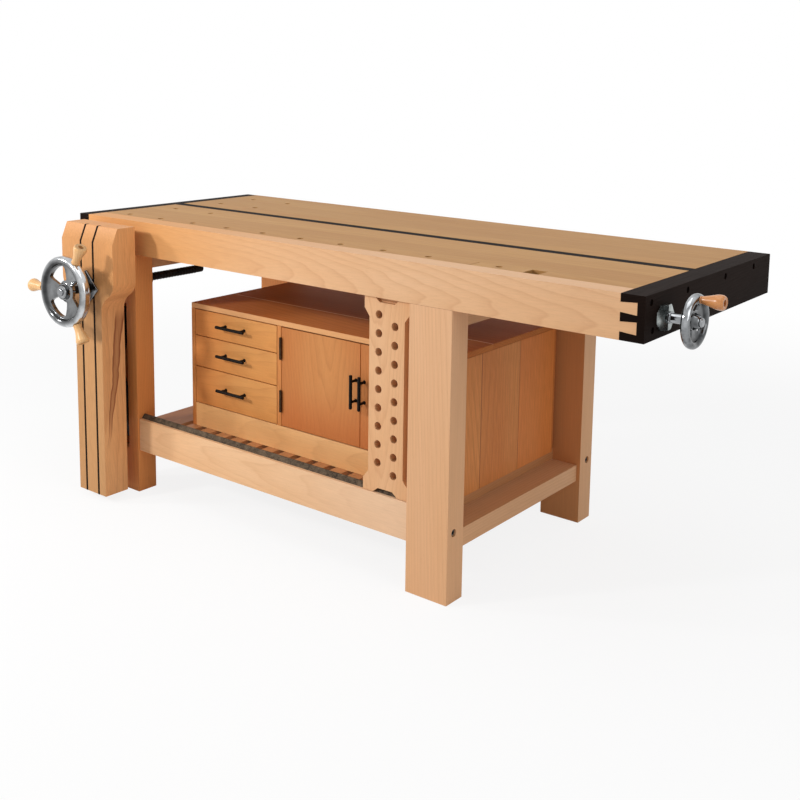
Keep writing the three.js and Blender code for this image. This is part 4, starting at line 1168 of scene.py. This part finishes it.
def makePull(node, lie):
    low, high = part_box(node)
    along = Vector((1, 0, 0)) if lie == "x" else Vector((0, 0, 1))
    length = pulls["drawerLength"] if lie == "x" else pulls["doorLength"]
    middle = (low + high) / 2
    bar, ease = pulls["bar"], pulls["barEnd"]
    post, foot, rise = pulls["post"], pulls["foot"], pulls["footRise"]
    face = high.y
    barCentre = Vector((middle.x, low.y + bar * mm, middle.z))
    half = length / 2
    line = [(0, -half), (bar - ease, -half), (bar, -half + ease)]
    line += [(bar, half - ease), (bar - ease, half), (0, half)]
    piece = turnProfile(node + "_bar", line, barCentre, along, (0, 1, 0), pulls["barSteps"])
    depth = (face - barCentre.y) / mm
    postLine = [(0, 0), (foot, 0), (foot, rise[0]), (post, rise[1]), (post, depth), (0, depth)]
    for end in (-1, 1):
        place = Vector((middle.x, face, middle.z)) + along * (end * (half - pulls["postInset"]) * mm)
        tool = turnProfile("pullPost", postLine, place, (0, -1, 0), (1, 0, 0), pulls["postSteps"])
        carve(piece, tool, way="UNION")
    smooth(piece, handTools["fittingAngle"])
    finishPiece(piece, "blackedSteel", bodyOf[node], node)


for node, lie in pulls["nodes"].items():
    makePull(node, lie)
print("pulls made")

# butt hinges: a knuckled barrel on a leaf

hinges = {
    "nodes": ("left_lower_hinge", "left_upper_hinge", "right_lower_hinge", "right_upper_hinge"),
    "radius": 4, "knuckles": 5, "groove": 0.7, "grooveHalf": 0.5,
    "tip": (2.4, 0.9), "steps": 28,
    "leaf": 1.2, "leafEdge": 0.25,
}


def makeHinge(node):
    low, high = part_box(node)
    radius = hinges["radius"]
    centre = Vector(((low.x + high.x) / 2, low.y + radius * mm, low.z))
    length = (high.z - low.z) / mm
    knuckle = length / hinges["knuckles"]
    tip, ease = hinges["tip"]
    half = hinges["grooveHalf"]
    line = [(0, 0), (tip, 0), (radius, ease)]
    for k in range(1, hinges["knuckles"]):
        z = k * knuckle
        line += [(radius, z - half), (radius - hinges["groove"], z), (radius, z + half)]
    line += [(radius, length - ease), (tip, length), (0, length)]
    barrel = turnProfile(node + "_barrel", line, centre, (0, 0, 1), (1, 0, 0), hinges["steps"])
    clearSelection()
    middle = (centre.x, (centre.y + high.y) / 2, (low.z + high.z) / 2)
    bpy.ops.mesh.primitive_cube_add(size=1, location=middle)
    leaf = bpy.context.object
    leaf.scale = (hinges["leaf"] * mm, high.y - centre.y, high.z - low.z)
    pick(leaf)
    bpy.ops.object.transform_apply(location=False, rotation=False, scale=True)
    soften(leaf, hinges["leafEdge"], 1)
    carve(barrel, leaf, way="UNION")
    smooth(barrel, handTools["fittingAngle"])
    finishPiece(barrel, "agedBronze", bodyOf[node], node)


for node in hinges["nodes"]:
    makeHinge(node)
print("hinges made")

# the diamond plate and its countersunk screws

visePlate = {
    "edge": 1.4, "edgeSteps": 3,
    "screwReach": 38,
    "headRadius": 4.2, "headSink": 1, "headSide": 0.1, "headEase": 0.5, "headTop": 0.9, "headSteps": 28,
    "slotLength": 12.6, "slotWidth": 1.1, "slotDepth": 1.0,
}


def screwHead(name, place, axis, out):
    p = visePlate
    radius, ease = p["headRadius"], p["headEase"]
    line = [
        (0, -p["headSink"]), (radius, -p["headSink"]), (radius, p["headSide"]), (radius - ease, ease),
        (0, p["headTop"]),
    ]
    head = turnProfile(name, line, place, axis, out, p["headSteps"])
    axis, out = Vector(axis), Vector(out)
    clearSelection()
    bpy.ops.mesh.primitive_cube_add(size=1, location=place + axis * (p["headTop"] * mm))
    slot = bpy.context.object
    sizes = axis * (2 * p["slotDepth"]) + out * p["slotWidth"] + axis.cross(out) * p["slotLength"]
    slot.scale = [abs(v) * mm for v in sizes]
    carve(head, slot)
    smooth(head, handTools["fittingAngle"])
    return head


def makePlate():
    piece = workedCopy("vise_plate")
    soften(piece, visePlate["edge"], visePlate["edgeSteps"])
    smooth(piece)
    finishPiece(piece, "castSteel", "vise_chop", "vise_plate")
    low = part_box("vise_plate")[0]
    reach = visePlate["screwReach"]
    slant = math.sqrt(0.5)
    spots = {"left": (-reach, 0), "right": (reach, 0), "lower": (0, -reach), "upper": (0, reach)}
    for name, (dx, dz) in spots.items():
        place = at(viseX + dx, 0, viseZ + dz)
        place.y = low.y
        out = (slant, 0, slant) if dx else (1, 0, 0)
        head = screwHead("plateScrew_" + name, place, (0, -1, 0), out)
        finishPiece(head, "boltSteel", "vise_chop")


makePlate()
print("plate screwed on")

# bolts sunk in the legs and in the right end cap

bolts = {
    "leg": {"radius": 7.6, "socket": 4.2, "depth": 12, "head": 8},
    "cap": {"radius": 6.2, "socket": 3.4, "depth": 7.3, "head": 3},
    "fit": 0.3, "washer": (1.2, 1.4), "ease": 0.8, "socketLift": 0.1, "steps": 36,
    "legSpots": {
        "rightFront": (1452, 27, 185, 1), "rightRear": (1452, 713, 185, 1),
        "leftFront": (136, 27, 185, -1), "leftRear": (136, 713, 185, -1),
    },
}


def makeBolt(name, place, axis, size):
    floor = -size["depth"] + bolts["fit"]
    top = floor + size["head"]
    radius, ease = size["radius"], bolts["ease"]
    brim, crown = bolts["washer"]
    line = [
        (0, floor), (radius + brim, floor), (radius + brim, floor + brim), (radius, floor + crown),
        (radius, top - ease), (radius - ease, top), (0, top),
    ]
    bolt = turnProfile(name, line, place, axis, (0, 1, 0), bolts["steps"])
    mouth = place + Vector(axis) * ((top + bolts["socketLift"]) * mm)
    carve(bolt, makeRod(6, size["socket"], size["head"], mouth))
    smooth(bolt, handTools["fittingAngle"])
    return bolt


def makeBolts():
    for name, (x, y, z, way) in bolts["legSpots"].items():
        bolt = makeBolt("legBolt_" + name, at(x, y, z), (way, 0, 0), bolts["leg"])
        finishPiece(bolt, "boltSteel", "bench")
    for name, (y, z) in capRecess["spots"].items():
        bolt = makeBolt("capBolt_" + name, at(benchLength, y, z), (1, 0, 0), bolts["cap"])
        finishPiece(bolt, "blackedSteel", "bench")


makeBolts()
print("bolts set")

clearSelection()
